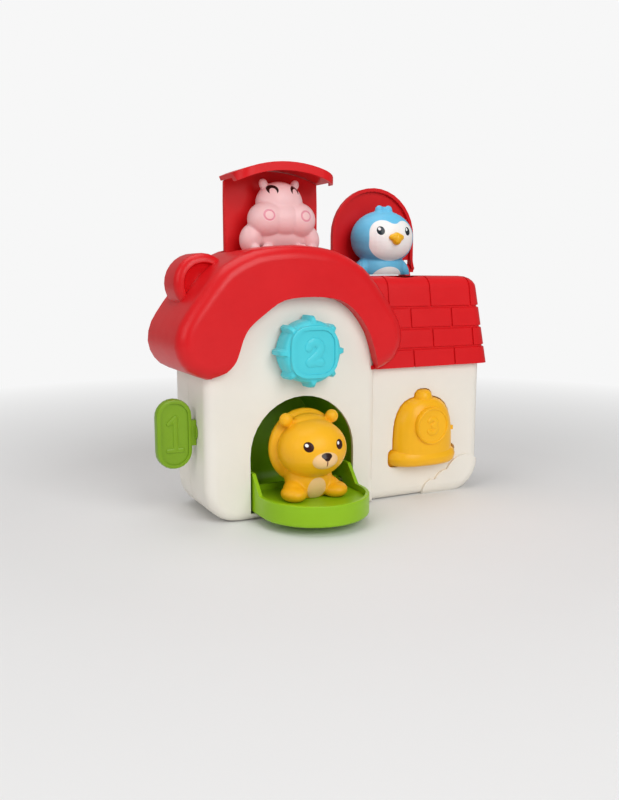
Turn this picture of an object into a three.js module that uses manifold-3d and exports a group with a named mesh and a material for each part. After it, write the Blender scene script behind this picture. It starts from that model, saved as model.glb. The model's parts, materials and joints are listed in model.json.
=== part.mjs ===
import * as THREE from 'three';
import { mergeVertices } from 'three/addons/utils/BufferGeometryUtils.js';
import Module from 'manifold-3d';

const wasm = await Module();
wasm.setup();

// A toy house with three animals that pop out. Millimetres, +Z up.
// X = 0 is near the middle of the white body, Y = 0 its front face, Z = 0 the surface it stands on.
// Every piece is drawn popped up or open, as the toy stands at rest.

// Shared fits
const fitGap = 0.3;
const runGap = 0.6;
const overrun = 1;

// White housing
const leftWallX = -107;
const rightWallX = 104.5;
const stepX = 14;
const stepSetback = 5;
const houseDepth = 70;
const seamY = 32;
const shellWall = 2.4;
const bottomRadius = 22;
const frontEdgeRadius = 7;
const rearEdgeRadius = 16;
const gableSpringZ = 105;
const gableTopZ = 150;
const rightBodyTopZ = 98;
const sectionOverlap = 14;

// Screws that close the housing from behind
const bossRadius = 5.2;
const screwWellRadius = 3.9;
const screwHeadRadius = 3.3;
const screwShankRadius = 1.5;
const screwGrip = 9;
const screwInset = 12;

// Arched roof over the tall part
const archCentreX = -47;
const archHalfWidth = 78.5;
const archEaveZ = 92.5;
const archTopZ = 173.4;
const archFrontY = -8;
const archRearMargin = 4;
const archRearY = houseDepth - archRearMargin;
const archWall = 2.6;
const archEdgeRadius = 9;
const earX = -98.5;
const earZ = 149.5;
const earRadius = 19;
const earFrontY = 21;
const earRearY = 50;
const earRim = 5;
const earDishDepth = 4;

// Front window of the arched roof, where the white gable shows
const windowCentreX = -38.6;
const windowHalfWidth = 50.8;
const windowTopZ = 141.4;

// Brick roof over the low part
const brickLeftX = -14;
const brickRightX = 110;
const brickFrontY = 1;
const brickRearOverhang = 2;
const brickRearY = houseDepth + brickRearOverhang;
const brickEaveZ = 92.4;
const brickTopZ = 154;
const brickRounding = 9;
const brickFrontSlope = 9;
const brickSideSlope = 4;
const brickCornerRadius = 9;
const brickWall = 2.4;
const brickLength = 34;
const brickJointX = 27.5;
const grooveWidth = 1.4;
const grooveDepth = 0.9;

// Doorway, the green alcove behind it and the door that swings down as a tray
const doorX = -41;
const doorHalfWidth = 37;
const doorSideGap = 1.4;
const doorSpringZ = 41.5;
const alcoveMargin = 1.5;
const alcoveHalfWidth = doorHalfWidth + alcoveMargin;
const alcoveWall = 2;
const alcoveBackWall = 1.1;
const alcoveLining = 1.5;
const doorRadius = doorHalfWidth - doorSideGap;
const doorPivotY = 10.75;
const doorPivotZ = 16.25;
const doorUnderZ = 5.5;
const doorRimZ = 19;
const doorRearY = 18.5;
const doorSkin = 2.4;
const doorFloorZ = 15;
const doorFloorThickness = 2.2;
const doorEdgeRadius = 2;
const cheekTopZ = 31;
const cheekY = 5;
const cheekTopWidth = 8;
const hingePinRadius = 2.2;
const lionHeight = 55.5;

// Lift that carries the hippo
const liftX = -41;
const liftTravel = 52;
const liftCapHalfWidth = 36;
const shaftMargin = 2;
const shaftHalfWidth = liftCapHalfWidth + shaftMargin;
const shaftFrontY = 14.4;
const shaftRearMargin = 16.4;
const shaftRearY = houseDepth - shaftRearMargin;
const shaftFloorZ = doorSpringZ + alcoveHalfWidth + alcoveWall + fitGap;
const shaftTopZ = 157;
const shaftWall = 1.6;
const platformHalfWidth = liftCapHalfWidth - runGap;
const platformFrontY = 19.2;
const platformZ = 169;
const platformThickness = 3;
const liftBackMargin = 6;
const liftBackFrontY = shaftRearY - liftBackMargin;
const liftBackThickness = 2.8;
const liftBackInset = 1.4;
const liftBackHalfWidth = platformHalfWidth - liftBackInset;
const liftBackBottomZ = 137;
const liftCapFrontY = 19;
const liftCapRearY = liftBackFrontY + liftBackThickness + fitGap;
const liftCapCrestZ = 226;
const liftCapDrop = 8;
const liftCapThickness = 3;
const liftCapCornerRadius = 12;
const platformCornerRadius = liftCapCornerRadius - runGap;
const liftSpringRadius = 8;
const liftSpringWire = 1.5;
const liftSpringY = (shaftFrontY + liftBackFrontY) / 2;
const springSeatHeight = 4.6;
const hippoHeight = 48.5;
const hippoBackRoom = 12;
const hippoY = liftBackFrontY - hippoBackRoom;

// Penguin, and the lid that it stands on the inside of
const penguinX = 44.5;
const penguinHeight = 47;
const penguinFootZ = 154.8;
const penguinBackRoom = 13.5;
const lidCentreZ = 182.5;
const lidFootZ = 155;
const lidMargin = 10;
const lidOuterY = brickRearY - lidMargin;
const lidThickness = 2.5;
const lidInnerY = lidOuterY - lidThickness;
const lidRimDepth = 5;
const lidRimY = lidOuterY - lidRimDepth;
const penguinY = lidInnerY - penguinBackRoom;
const lidPivotZ = 159.5;
const lidBarrelRadius = 3;
const lidPinRadius = 1.3;
const lidLugFootHalf = 5.4;
const lidSpringRoom = 8;
const lidHoleHalfWidth = 25.5;
const lidHoleFrontY = 14.8;
const lidHoleRearMargin = 3.2;
const lidHoleRearY = brickRearY - lidHoleRearMargin;
const lidLugWidth = 4;
const lidLugMargin = 2.5;
const lidLugX = lidHoleHalfWidth + lidLugMargin + lidLugWidth / 2;
const lidFootEnd = 4.5;
const lidFootHalfWidth = lidLugX + lidLugWidth / 2 + lidFootEnd;
const lidFlare = 2.5;
const lidRadius = lidFootHalfWidth - lidFlare;
const lidCatchX = 68;
const lidCatchZ = 193.5;
const lidCatchWidth = 2.6;
const lidCatchReach = 7.5;

// Key, dial and bell
const keyY = 20;
const keyZ = 57.3;
const keyCentreX = -121.3;
const keyWidth = 22.8;
const keyHeight = 44;
const keyThickness = 7;
const keyRim = 2.6;
const keyShaftRadius = 5;
const keyBitHalfHeight = 8;
const dialZ = 107.7;
const dialRadius = 20;
const dialRidge = 2.6;
const dialRidgeWidth = 5;
const dialRidgeCount = 8;
const dialFrontY = -15.5;
const dialBackY = -1;
const dialPlateHalf = 16.4;
const dialPlateRadius = 11.5;
const dialPlateRise = 2;
const dialShaftRadius = 6;
const bellX = 54.5;
const bellBottomZ = 23;
const bellRimTopZ = 35;
const bellShoulderZ = 70.5;
const bellTopZ = 76;
const bellRimHalfWidth = 27.5;
const bellRimRise = 0.8;
const bellBodyHalfWidth = 24;
const bellKnobHalfWidth = 7;
const bellFrontY = -7.2;
const bellDiscZ = 52;
const bellDiscRadius = 13;
const bellDiscRise = 0.8;
const bellPlungerZ = 48;
const bellPlungerRadius = 3;

// Latches between the keys and the doors
const keyTurn = 60;
const dialTurn = 45;
const crankPinRadius = 1.3;
const keyCrank = 6;
const dialCrank = 9;
const keyLatchStroke = 5;
const dialLatchStroke = 6;
const camRadius = 11;
const camThickness = 2;
const latchThickness = 1.8;
const pegRadius = 1.8;
const pegLength = 8;
const keyPegRise = 13;
const doorPegOffset = 15;
const latchGap = 0.4;
const camClearance = 0.6;
const doorLatchNoseHalf = 5;
const doorLatchRise = 6;
const doorLatchZ = doorSpringZ + alcoveHalfWidth + alcoveWall + doorLatchRise;
const hippoLatchNoseDepth = 2.9;
const springSeatRadius = 6.2;
const keyCatchRise = 6.7;
const keyCatchZ = shaftFloorZ + keyCatchRise;
const keyCatchHalf = 2;
const keyCatchX0 = -74;
const keyCatchX1 = -68;
const leverY = 38;
const leverZ = 88;
const leverX = 73.5;
const leverThickness = 3;
const leverPostOffset = 3.6;
const leverPostWidth = 2.4;
const leverNoseZ = 149.1;

// Facets
const cornerSteps = 4;
const edgeSteps = 3;
const smallSides = 10;
const wellSides = 16;
const roundSides = 28;

// Places worked out from the sizes above
const keyCatchY = liftBackFrontY - latchGap;
const keyCamX = leftWallX + shellWall + fitGap;
const keyLatchX = keyCamX + camThickness + camClearance;
const dialCamY = shellWall + fitGap * 3;
const doorLatchY = dialCamY + camThickness + camClearance;
const leverPadY = leverY - bossRadius;
const leverNoseY = lidOuterY - lidCatchZ + lidPivotZ;
const leverPostXs = [leverX - leverPostOffset, leverX + leverPostOffset];
const keyPegZs = [keyZ + keyPegRise, keyZ + keyPegRise * 2];
const keyPegY = keyY - keyLatchStroke * 0.6;
const doorPegXs = [doorX - doorPegOffset, doorX + doorPegOffset];
const lionScrewY = -doorSkin;

const looks = {
  white: { color: 0xefeae0, roughness: 0.32, metalness: 0 },
  red: { color: 0xdb1217, roughness: 0.3, metalness: 0 },
  green: { color: 0x93c11c, roughness: 0.32, metalness: 0 },
  keyGreen: { color: 0x7ba31a, roughness: 0.34, metalness: 0 },
  blue: { color: 0x4fd4e2, roughness: 0.32, metalness: 0 },
  yellow: { color: 0xf8b808, roughness: 0.32, metalness: 0 },
  lion: { color: 0xfcb20c, roughness: 0.5, metalness: 0 },
  hippo: { color: 0xf2b9bd, roughness: 0.5, metalness: 0 },
  penguin: { color: 0x5db9e6, roughness: 0.5, metalness: 0 },
  inner: { color: 0xd9d9d4, roughness: 0.5, metalness: 0 },
  steel: { color: 0xb8babd, roughness: 0.35, metalness: 1 },
};

// Solids from three.js geometry

function solidFrom(positions, triangles) {
  return new wasm.Manifold(new wasm.Mesh({
    numProp: 3,
    vertProperties: new Float32Array(positions),
    triVerts: new Uint32Array(triangles),
  }));
}

function toSolid(geometry) {
  const bare = geometry.clone();
  bare.deleteAttribute('normal');
  bare.deleteAttribute('uv');
  const merged = mergeVertices(bare);
  return solidFrom(merged.attributes.position.array, merged.index.array);
}

function toGeometry(solid) {
  const mesh = solid.getMesh();
  const geometry = new THREE.BufferGeometry();
  geometry.setAttribute('position', new THREE.BufferAttribute(mesh.vertProperties, 3));
  geometry.setIndex(new THREE.BufferAttribute(mesh.triVerts, 1));
  geometry.computeVertexNormals();
  return geometry;
}

function join(solids) {
  return solids.reduce((whole, solid) => whole.add(solid));
}

function cut(solid, tools) {
  return tools.reduce((rest, tool) => rest.subtract(tool), solid);
}

function box(x0, x1, y0, y1, z0, z1) {
  const geometry = new THREE.BoxGeometry(Math.abs(x1 - x0), Math.abs(y1 - y0), Math.abs(z1 - z0));
  geometry.translate((x0 + x1) / 2, (y0 + y1) / 2, (z0 + z1) / 2);
  return toSolid(geometry);
}

function cylinderZ(x, y, radius, z0, z1, sides = wellSides) {
  const geometry = new THREE.CylinderGeometry(radius, radius, Math.abs(z1 - z0), sides);
  geometry.rotateX(Math.PI / 2);
  geometry.translate(x, y, (z0 + z1) / 2);
  return toSolid(geometry);
}

function cylinderY(x, z, radius, y0, y1, sides = wellSides) {
  const geometry = new THREE.CylinderGeometry(radius, radius, Math.abs(y1 - y0), sides);
  geometry.translate(x, (y0 + y1) / 2, z);
  return toSolid(geometry);
}

function cylinderX(y, z, radius, x0, x1, sides = wellSides) {
  const geometry = new THREE.CylinderGeometry(radius, radius, Math.abs(x1 - x0), sides);
  geometry.rotateZ(Math.PI / 2);
  geometry.translate((x0 + x1) / 2, y, z);
  return toSolid(geometry);
}

function ellipsoid(x, y, z, rx, ry, rz, sides) {
  const geometry = new THREE.SphereGeometry(1, sides, Math.round(sides / 2));
  geometry.rotateX(Math.PI / 2);
  geometry.scale(rx, ry, rz);
  geometry.translate(x, y, z);
  return toSolid(geometry);
}

// Outlines are counter-clockwise lists of points

function roundedOutline(corners, steps = cornerSteps) {
  const points = [];
  const count = corners.length;
  const place = (i) => new THREE.Vector2(...corners[(i + count) % count].slice(0, 2));
  for (let i = 0; i < count; i += 1) {
    const here = place(i);
    const radius = corners[i][2];
    if (!radius) {
      points.push(here);
      continue;
    }
    const toBefore = place(i - 1).sub(here).normalize();
    const toAfter = place(i + 1).sub(here).normalize();
    const half = Math.acos(toBefore.dot(toAfter)) / 2;
    const reach = radius / Math.tan(half);
    const inward = toBefore.clone().add(toAfter).normalize();
    const middle = inward.multiplyScalar(radius / Math.sin(half)).add(here);
    const start = toBefore.multiplyScalar(reach).add(here).sub(middle);
    const end = toAfter.multiplyScalar(reach).add(here).sub(middle);
    const turn = Math.atan2(start.cross(end), start.dot(end));
    for (let k = 0; k <= steps; k += 1) {
      points.push(start.clone().rotateAround(new THREE.Vector2(), turn * k / steps).add(middle));
    }
  }
  return points;
}

function circleOutline(x, z, radius, sides = roundSides) {
  return Array.from({ length: sides }, (unused, k) => {
    const turn = 2 * Math.PI * k / sides;
    return new THREE.Vector2(x + radius * Math.cos(turn), z + radius * Math.sin(turn));
  });
}

function rectangle(x0, x1, z0, z1, radius = 0, steps = cornerSteps) {
  return roundedOutline([[x0, z0, radius], [x1, z0, radius], [x1, z1, radius], [x0, z1, radius]], steps);
}

// A doorway shape: straight sides under a half circle
function archedOutline(x, halfWidth, bottomZ, springZ, steps = 18) {
  const points = [new THREE.Vector2(x - halfWidth, bottomZ), new THREE.Vector2(x + halfWidth, bottomZ)];
  for (let k = 0; k <= steps; k += 1) {
    const turn = Math.PI * k / steps;
    points.push(new THREE.Vector2(x + halfWidth * Math.cos(turn), springZ + halfWidth * Math.sin(turn)));
  }
  return points;
}

function mirrored(points, centre) {
  return [...points].reverse().map((point) => new THREE.Vector2(2 * centre - point.x, point.y));
}

function grow(outline, distance) {
  const count = outline.length;
  return outline.map((point, i) => {
    const before = outline[(i + count - 1) % count];
    const after = outline[(i + 1) % count];
    const into = point.clone().sub(before).normalize();
    const out = after.clone().sub(point).normalize();
    const normal = new THREE.Vector2(into.y + out.y, -into.x - out.x);
    return normal.multiplyScalar(distance / (1 + into.dot(out))).add(point);
  });
}

function scaled(outline, centreX, centreZ, factor) {
  const centre = new THREE.Vector2(centreX, centreZ);
  return outline.map((point) => point.clone().sub(centre).multiplyScalar(factor).add(centre));
}

// Joins rings with equal counts of points into one closed solid along local Z
function loftRings(rings) {
  const count = rings[0].outline.length;
  const positions = rings.flatMap((ring) => ring.outline.flatMap((point) => [point.x, point.y, ring.at]));
  const triangles = [];
  for (let r = 0; r < rings.length - 1; r += 1) {
    for (let i = 0; i < count; i += 1) {
      const a = r * count + i;
      const b = r * count + (i + 1) % count;
      triangles.push(a, b, b + count, a, b + count, a + count);
    }
  }
  for (const [a, b, c] of THREE.ShapeUtils.triangulateShape([...rings[0].outline], [])) {
    triangles.push(c, b, a);
  }
  const last = (rings.length - 1) * count;
  for (const [a, b, c] of THREE.ShapeUtils.triangulateShape([...rings.at(-1).outline], [])) {
    triangles.push(last + a, last + b, last + c);
  }
  return solidFrom(positions, triangles);
}

function loftZ(outline, stations) {
  return loftRings(stations.map(([at, inset]) => ({ at, outline: grow(outline, -inset) })));
}

// Turns local Z into -Y, so that an outline drawn in X and Z is lofted along Y
function ringsAlongY(rings) {
  return loftRings([...rings].reverse().map((ring) => ({ ...ring, at: -ring.at }))).rotate([90, 0, 0]);
}

function loftY(outline, stations) {
  return ringsAlongY(stations.map(([at, inset]) => ({ at, outline: grow(outline, -inset) })));
}

// The outline is drawn in Y and Z and lofted along X
function loftX(outline, stations) {
  return loftZ(outline, stations).rotate([90, 0, 90]);
}

// Stations [place, inset] of a body whose two ends are rounded over
function roundedEnds(low, high, lowRadius, highRadius, steps = edgeSteps) {
  const quarter = Array.from({ length: steps + 1 }, (unused, k) => Math.PI / 2 * k / steps);
  const stations = (end, radius) => quarter.map((turn) => [end + radius * (1 - Math.sin(turn)),
    Math.abs(radius) * (1 - Math.cos(turn))]);
  const start = lowRadius ? stations(low, lowRadius).reverse() : [[low, 0]];
  const finish = highRadius ? stations(high, -highRadius) : [[high, 0]];
  return [...start, ...finish];
}

// A round wire swept along a path of points, closed at both ends
function wire(points, radius, sides = 5) {
  const positions = [];
  const triangles = [];
  const count = points.length;
  let side = new THREE.Vector3();
  points.forEach((point, i) => {
    const along = points[Math.min(i + 1, count - 1)].clone().sub(points[Math.max(i - 1, 0)]).normalize();
    if (i === 0) {
      side = new THREE.Vector3(along.y, along.z, along.x).cross(along).normalize();
    }
    side = side.sub(along.clone().multiplyScalar(side.dot(along))).normalize();
    const up = along.clone().cross(side);
    for (let k = 0; k < sides; k += 1) {
      const turn = 2 * Math.PI * k / sides;
      const spoke = point.clone().addScaledVector(side, radius * Math.cos(turn));
      positions.push(...spoke.addScaledVector(up, radius * Math.sin(turn)).toArray());
    }
  });
  for (let i = 0; i < count - 1; i += 1) {
    for (let k = 0; k < sides; k += 1) {
      const a = i * sides + k;
      const b = i * sides + (k + 1) % sides;
      triangles.push(a, b, b + sides, a, b + sides, a + sides);
    }
  }
  const last = (count - 1) * sides;
  for (let k = 1; k < sides - 1; k += 1) {
    triangles.push(0, k + 1, k);
    triangles.push(last, last + k, last + k + 1);
  }
  return solidFrom(positions, triangles);
}

// Points of a coil round local Z
function coilPoints(radius, length, turns, steps = 8) {
  return Array.from({ length: turns * steps + 1 }, (unused, k) => {
    const turn = 2 * Math.PI * k / steps;
    return new THREE.Vector3(radius * Math.cos(turn), radius * Math.sin(turn), length * k / (turns * steps));
  });
}

const house = new THREE.Group();
house.position.set(0, -houseDepth / 2, 0);

function addPiece(name, solid, look) {
  const mesh = new THREE.Mesh(toGeometry(solid), new THREE.MeshStandardMaterial(looks[look]));
  mesh.name = name;
  house.add(mesh);
}

// White housing

function leftSectionOutline() {
  const middle = (leftWallX + stepX) / 2;
  const half = (stepX - leftWallX) / 2;
  const rise = gableTopZ - gableSpringZ;
  const foot = roundedOutline([
    [leftWallX, 0, bottomRadius],
    [stepX, 0, 0],
    [stepX, gableSpringZ, 0],
    [leftWallX, gableSpringZ, 0],
  ], cornerSteps + 2);
  const archSteps = 18;
  for (let k = 1; k < archSteps; k += 1) {
    const turn = Math.PI * k / archSteps;
    foot.splice(foot.length - 1, 0, new THREE.Vector2(middle + half * Math.cos(turn),
      gableSpringZ + rise * Math.sin(turn)));
  }
  return foot;
}

function rightSectionOutline() {
  return roundedOutline([
    [stepX - sectionOverlap, 0, 0],
    [rightWallX, 0, bottomRadius],
    [rightWallX, gableTopZ, 0],
    [stepX - sectionOverlap, gableTopZ, 0],
  ], cornerSteps + 2);
}

function leftSection(inset) {
  return loftY(grow(leftSectionOutline(), -inset), roundedEnds(inset, houseDepth - inset,
    frontEdgeRadius - inset, rearEdgeRadius - inset));
}

function rightSection(inset) {
  return loftY(grow(rightSectionOutline(), -inset), roundedEnds(stepSetback + inset, houseDepth - inset,
    frontEdgeRadius - inset, rearEdgeRadius - inset));
}

function bodyEnvelope() {
  const aboveRight = box(stepX - sectionOverlap - overrun, rightWallX + overrun, -overrun,
    houseDepth + overrun, rightBodyTopZ, gableTopZ + overrun);
  return leftSection(0).add(rightSection(0).subtract(aboveRight));
}

function hollowBody() {
  const room = leftSection(shellWall).add(rightSection(shellWall));
  const liftRoom = box(liftX - shaftHalfWidth - runGap, liftX + shaftHalfWidth + runGap, shaftFrontY - runGap,
    shaftRearY + runGap, gableSpringZ, gableTopZ + overrun);
  return bodyEnvelope().subtract(room).subtract(liftRoom);
}

function frontRegion() {
  return box(leftWallX - overrun, rightWallX + overrun, -overrun, seamY, -overrun, gableTopZ + overrun);
}

// Where the housing screws sit, as X and Z
const screwPlaces = [
  [leftWallX + screwInset - overrun, screwInset + bossRadius],
  [leftWallX + screwInset - overrun, gableSpringZ - bossRadius],
  [stepX - bossRadius, screwInset + fitGap],
  [rightWallX - screwInset, screwInset + bossRadius / 2],
  [rightWallX - screwInset + overrun, rightBodyTopZ - screwInset],
];

// Right edge of the bell's dome from the rim up, as half width and height
function bellDomeEdge() {
  const domeShares = [[1, 0], [0.99, 0.34], [0.93, 0.6], [0.78, 0.82], [0.56, 0.95], [0.3, 1]];
  const height = bellShoulderZ - bellRimTopZ;
  const knots = domeShares.map(([across, up]) => new THREE.Vector2(bellBodyHalfWidth * across,
    bellRimTopZ + height * up));
  return new THREE.SplineCurve(knots).getPoints(8).map((point) => [point.x, point.y]);
}

// The bell seen from the front: its rim, dome and knob
function bellOutline() {
  const knobRadius = bellKnobHalfWidth * 0.7;
  const rimRadius = (bellRimTopZ - bellBottomZ) * 0.28;
  const knob = roundedOutline([
    [bellX, bellShoulderZ, 0],
    [bellX + bellKnobHalfWidth, bellShoulderZ, 0],
    [bellX + bellKnobHalfWidth, bellTopZ, knobRadius],
    [bellX, bellTopZ, 0],
  ], 3).slice(2, -1);
  const rim = rectangle(bellX - bellRimHalfWidth, bellX + bellRimHalfWidth, bellBottomZ, bellRimTopZ,
    rimRadius, 3).filter((point) => point.x > bellX);
  const dome = bellDomeEdge().map(([half, z]) => new THREE.Vector2(bellX + half, z));
  const right = [...rim, ...dome, ...knob];
  return [...right, ...mirrored(right, bellX)];
}

// Raised planting in the corner of the low front: a low hedge of round clumps that runs round the corner
function hedgeRelief() {
  const rise = shellWall * 0.75;
  const clumpShares = [[0.85, 0.1, 0.19], [0.68, 0.06, 0.125], [0.54, 0.04, 0.08]];
  const span = rightWallX - stepX;
  const clumps = clumpShares.map(([across, up, size]) => cylinderY(stepX + span * across, span * up,
    span * size, -overrun, stepSetback + frontEdgeRadius * 2, roundSides));
  const swollen = rightSection(-rise).subtract(rightSection(shellWall / 2));
  const above = box(stepX, rightWallX + rise + overrun, -overrun, seamY, 0, gableTopZ);
  return join(clumps).intersect(swollen).intersect(above);
}

function frontShell() {
  const posts = screwPlaces.map(([x, z]) => cylinderY(x, z, bossRadius,
    (x > stepX ? stepSetback : 0) + shellWall / 2, seamY, smallSides));
  const wallPegs = keyPegZs.map((z) => cylinderX(keyPegY, z, pegRadius, leftWallX + shellWall / 2,
    leftWallX + pegLength, smallSides));
  const frontPegs = doorPegXs.map((x) => cylinderY(x, doorLatchZ, pegRadius, shellWall / 2, pegLength,
    smallSides));
  const shell = join([hollowBody().intersect(frontRegion()), hedgeRelief(), ...posts, ...wallPegs,
    ...frontPegs]);
  const pilots = screwPlaces.map(([x, z]) => cylinderY(x, z, screwShankRadius + fitGap / 2,
    seamY - screwGrip - fitGap, seamY + overrun, smallSides));
  const doorway = loftY(archedOutline(doorX, doorHalfWidth, doorUnderZ - runGap, doorSpringZ),
    [[-overrun, 0], [frontEdgeRadius, 0]]);
  const dialHole = cylinderY(doorX, dialZ, dialShaftRadius + fitGap, -overrun, shellWall + overrun);
  const bellHole = loftY(grow(bellOutline(), runGap), [[stepSetback - overrun, 0],
    [stepSetback + shellWall + overrun, 0]]);
  const keyHole = cylinderX(keyY, keyZ, keyShaftRadius + fitGap, leftWallX - overrun,
    leftWallX + shellWall + overrun);
  return cut(shell, [doorway, dialHole, bellHole, keyHole, ...pilots]);
}

function rearShell() {
  const tubes = screwPlaces.map(([x, z]) => cylinderY(x, z, bossRadius, seamY + fitGap, houseDepth,
    smallSides));
  const leverPosts = leverPostXs.map((x) => box(x - leverPostWidth / 2, x + leverPostWidth / 2,
    leverY - bossRadius, houseDepth - shellWall / 2, leverZ - bossRadius, leverZ + bossRadius));
  const shell = hollowBody().subtract(frontRegion().translate([0, fitGap, 0]));
  const whole = join([shell, ...tubes, ...leverPosts]).intersect(bodyEnvelope());
  const seatY = seamY + fitGap + screwGrip;
  const wells = screwPlaces.flatMap(([x, z]) => [
    cylinderY(x, z, screwWellRadius, seatY, houseDepth + overrun, smallSides),
    cylinderY(x, z, screwShankRadius + fitGap, seamY, houseDepth, smallSides),
  ]);
  const pinHole = cylinderX(leverY, leverZ, lidPinRadius + fitGap, leverX - leverThickness * 3,
    leverX + leverThickness * 3, smallSides);
  return cut(whole, [...wells, pinHole]);
}

function screwAlongY(x, z, headStart, headRadius, shankRadius, shankEnd) {
  const toHead = Math.sign(headStart - shankEnd);
  const headDepth = headRadius * 0.7;
  const headEnd = headStart + toHead * headDepth;
  const slotWidth = headRadius * 0.3;
  const slotLength = headRadius * 0.7;
  const slotFloor = headEnd - toHead * headDepth * 0.5;
  const slotTop = headEnd + toHead * overrun;
  const head = cylinderY(x, z, headRadius, headStart, headEnd, smallSides);
  const shank = cylinderY(x, z, shankRadius, shankEnd, headStart + toHead * headDepth / 2, smallSides);
  const slot = (halfX, halfZ) => box(x - halfX, x + halfX, slotFloor, slotTop, z - halfZ, z + halfZ);
  return cut(head.add(shank), [slot(slotLength, slotWidth / 2), slot(slotWidth / 2, slotLength)]);
}

function housingScrew(x, z) {
  const seatY = seamY + fitGap + screwGrip;
  return screwAlongY(x, z, seatY + fitGap, screwHeadRadius, screwShankRadius - fitGap / 2, seamY - screwGrip);
}

// Arched roof

function archRoofOutline() {
  // Right half of the eave and crown line, as shares of half width and height
  const crownShares = [[0.75, 0], [0.88, 0.05], [0.96, 0.13], [1, 0.24], [0.98, 0.373], [0.913, 0.49],
    [0.815, 0.617], [0.705, 0.748], [0.6, 0.847], [0.4, 0.949], [0.2, 0.988], [0, 1]];
  const height = archTopZ - archEaveZ;
  const knots = crownShares.map(([across, up]) => new THREE.Vector2(archCentreX + archHalfWidth * across,
    archEaveZ + height * up));
  const right = new THREE.SplineCurve(knots).getPoints(18);
  return [...right, ...mirrored(right, archCentreX).slice(1)];
}

function windowOutline() {
  // The gable edge from the step over the top to the left lobe, as shares of half width and height
  const edgeShares = [[1, 0], [0.943, 0.153], [0.881, 0.358], [0.8, 0.56], [0.615, 0.808], [0.369, 0.963],
    [0, 1], [-0.369, 0.963], [-0.615, 0.808], [-0.814, 0.644], [-0.9, 0.507], [-0.955, 0.348],
    [-1.012, 0.209], [-1.135, 0.078], [-1.346, 0]];
  const height = windowTopZ - archEaveZ;
  const knots = edgeShares.map(([across, up]) => new THREE.Vector2(windowCentreX + windowHalfWidth * across,
    archEaveZ + height * up));
  const edge = new THREE.SplineCurve(knots).getPoints(40);
  const low = archEaveZ - archWall * 2;
  return [...edge, new THREE.Vector2(edge.at(-1).x, low), new THREE.Vector2(edge[0].x, low)];
}

function archRoofEar() {
  const outside = loftY(circleOutline(earX, earZ, earRadius), roundedEnds(earFrontY, earRearY, earRadius / 4,
    earRadius / 3));
  const dishRadius = earRadius - earRim;
  const dish = loftY(circleOutline(earX, earZ, dishRadius), [[earFrontY - overrun, 0],
    [earFrontY + earDishDepth * 0.6, dishRadius * 0.12], [earFrontY + earDishDepth, dishRadius * 0.45]]);
  return outside.subtract(dish);
}

function archRoof() {
  const outline = archRoofOutline();
  const outer = loftY(outline, roundedEnds(archFrontY, archRearY, archEdgeRadius, archEdgeRadius));
  const innerRadius = archEdgeRadius - archWall;
  const inner = loftY(grow(outline, -archWall), roundedEnds(archFrontY + archWall, archRearY - archWall,
    innerRadius, innerRadius));
  const rim = loftY(grow(windowOutline(), archWall), [[archFrontY + archWall / 2, 0], [-fitGap, 0]])
    .intersect(outer);
  const shell = join([outer.subtract(inner), rim, archRoofEar().subtract(inner)]);
  const whiteRoom = leftSection(-fitGap);
  const lowRoom = box(stepX - overrun, archCentreX + archHalfWidth + overrun, stepSetback - fitGap,
    archRearY + overrun, archEaveZ - overrun, rightBodyTopZ + fitGap);
  const window = loftY(windowOutline(), [[archFrontY - overrun, 0], [fitGap, 0]]);
  const hole = loftZ(grow(liftCapPlan(), runGap), [[shaftTopZ - overrun, 0], [archTopZ + overrun, 0]]);
  return cut(shell, [whiteRoom, lowRoom, window, hole]);
}

// Brick roof

// The roof's tapered body, inset by a wall, with the level joint lines sunk into it
function brickBody(wall, lineDepth, footZ) {
  const lineShares = [0.2, 0.422, 0.654];
  const shoulderZ = brickTopZ - brickRounding;
  const rings = [[footZ, 0]];
  for (const share of lineShares) {
    const z = brickEaveZ + (brickTopZ - brickEaveZ) * share;
    if (lineDepth) {
      rings.push([z - grooveWidth * 0.7, 0], [z - grooveWidth * 0.3, lineDepth]);
      rings.push([z + grooveWidth * 0.3, lineDepth], [z + grooveWidth * 0.7, 0]);
    }
  }
  const roundSteps = 5;
  for (let k = 0; k <= roundSteps; k += 1) {
    rings.push([shoulderZ + (brickRounding - wall) * Math.sin(Math.PI / 2 * k / roundSteps), 0]);
  }
  return loftRings(rings.map(([z, depth]) => {
    const climb = THREE.MathUtils.clamp((z - brickEaveZ) / (shoulderZ - brickEaveZ), 0, 1);
    const above = Math.max(0, z - shoulderZ) / (brickRounding - wall);
    const round = (brickRounding - wall) * (1 - Math.sqrt(Math.max(0, 1 - above * above)));
    const front = brickFrontSlope * climb + round + wall + depth;
    const side = brickSideSlope * climb + round + wall + depth;
    const corner = brickCornerRadius - wall;
    return {
      at: z,
      outline: roundedOutline([
        [brickLeftX, brickFrontY + front, 0],
        [brickRightX - side, brickFrontY + front, corner],
        [brickRightX - side, brickRearY - wall - depth, corner / 2],
        [brickLeftX, brickRearY - wall - depth, 0],
      ]),
    };
  }));
}

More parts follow.
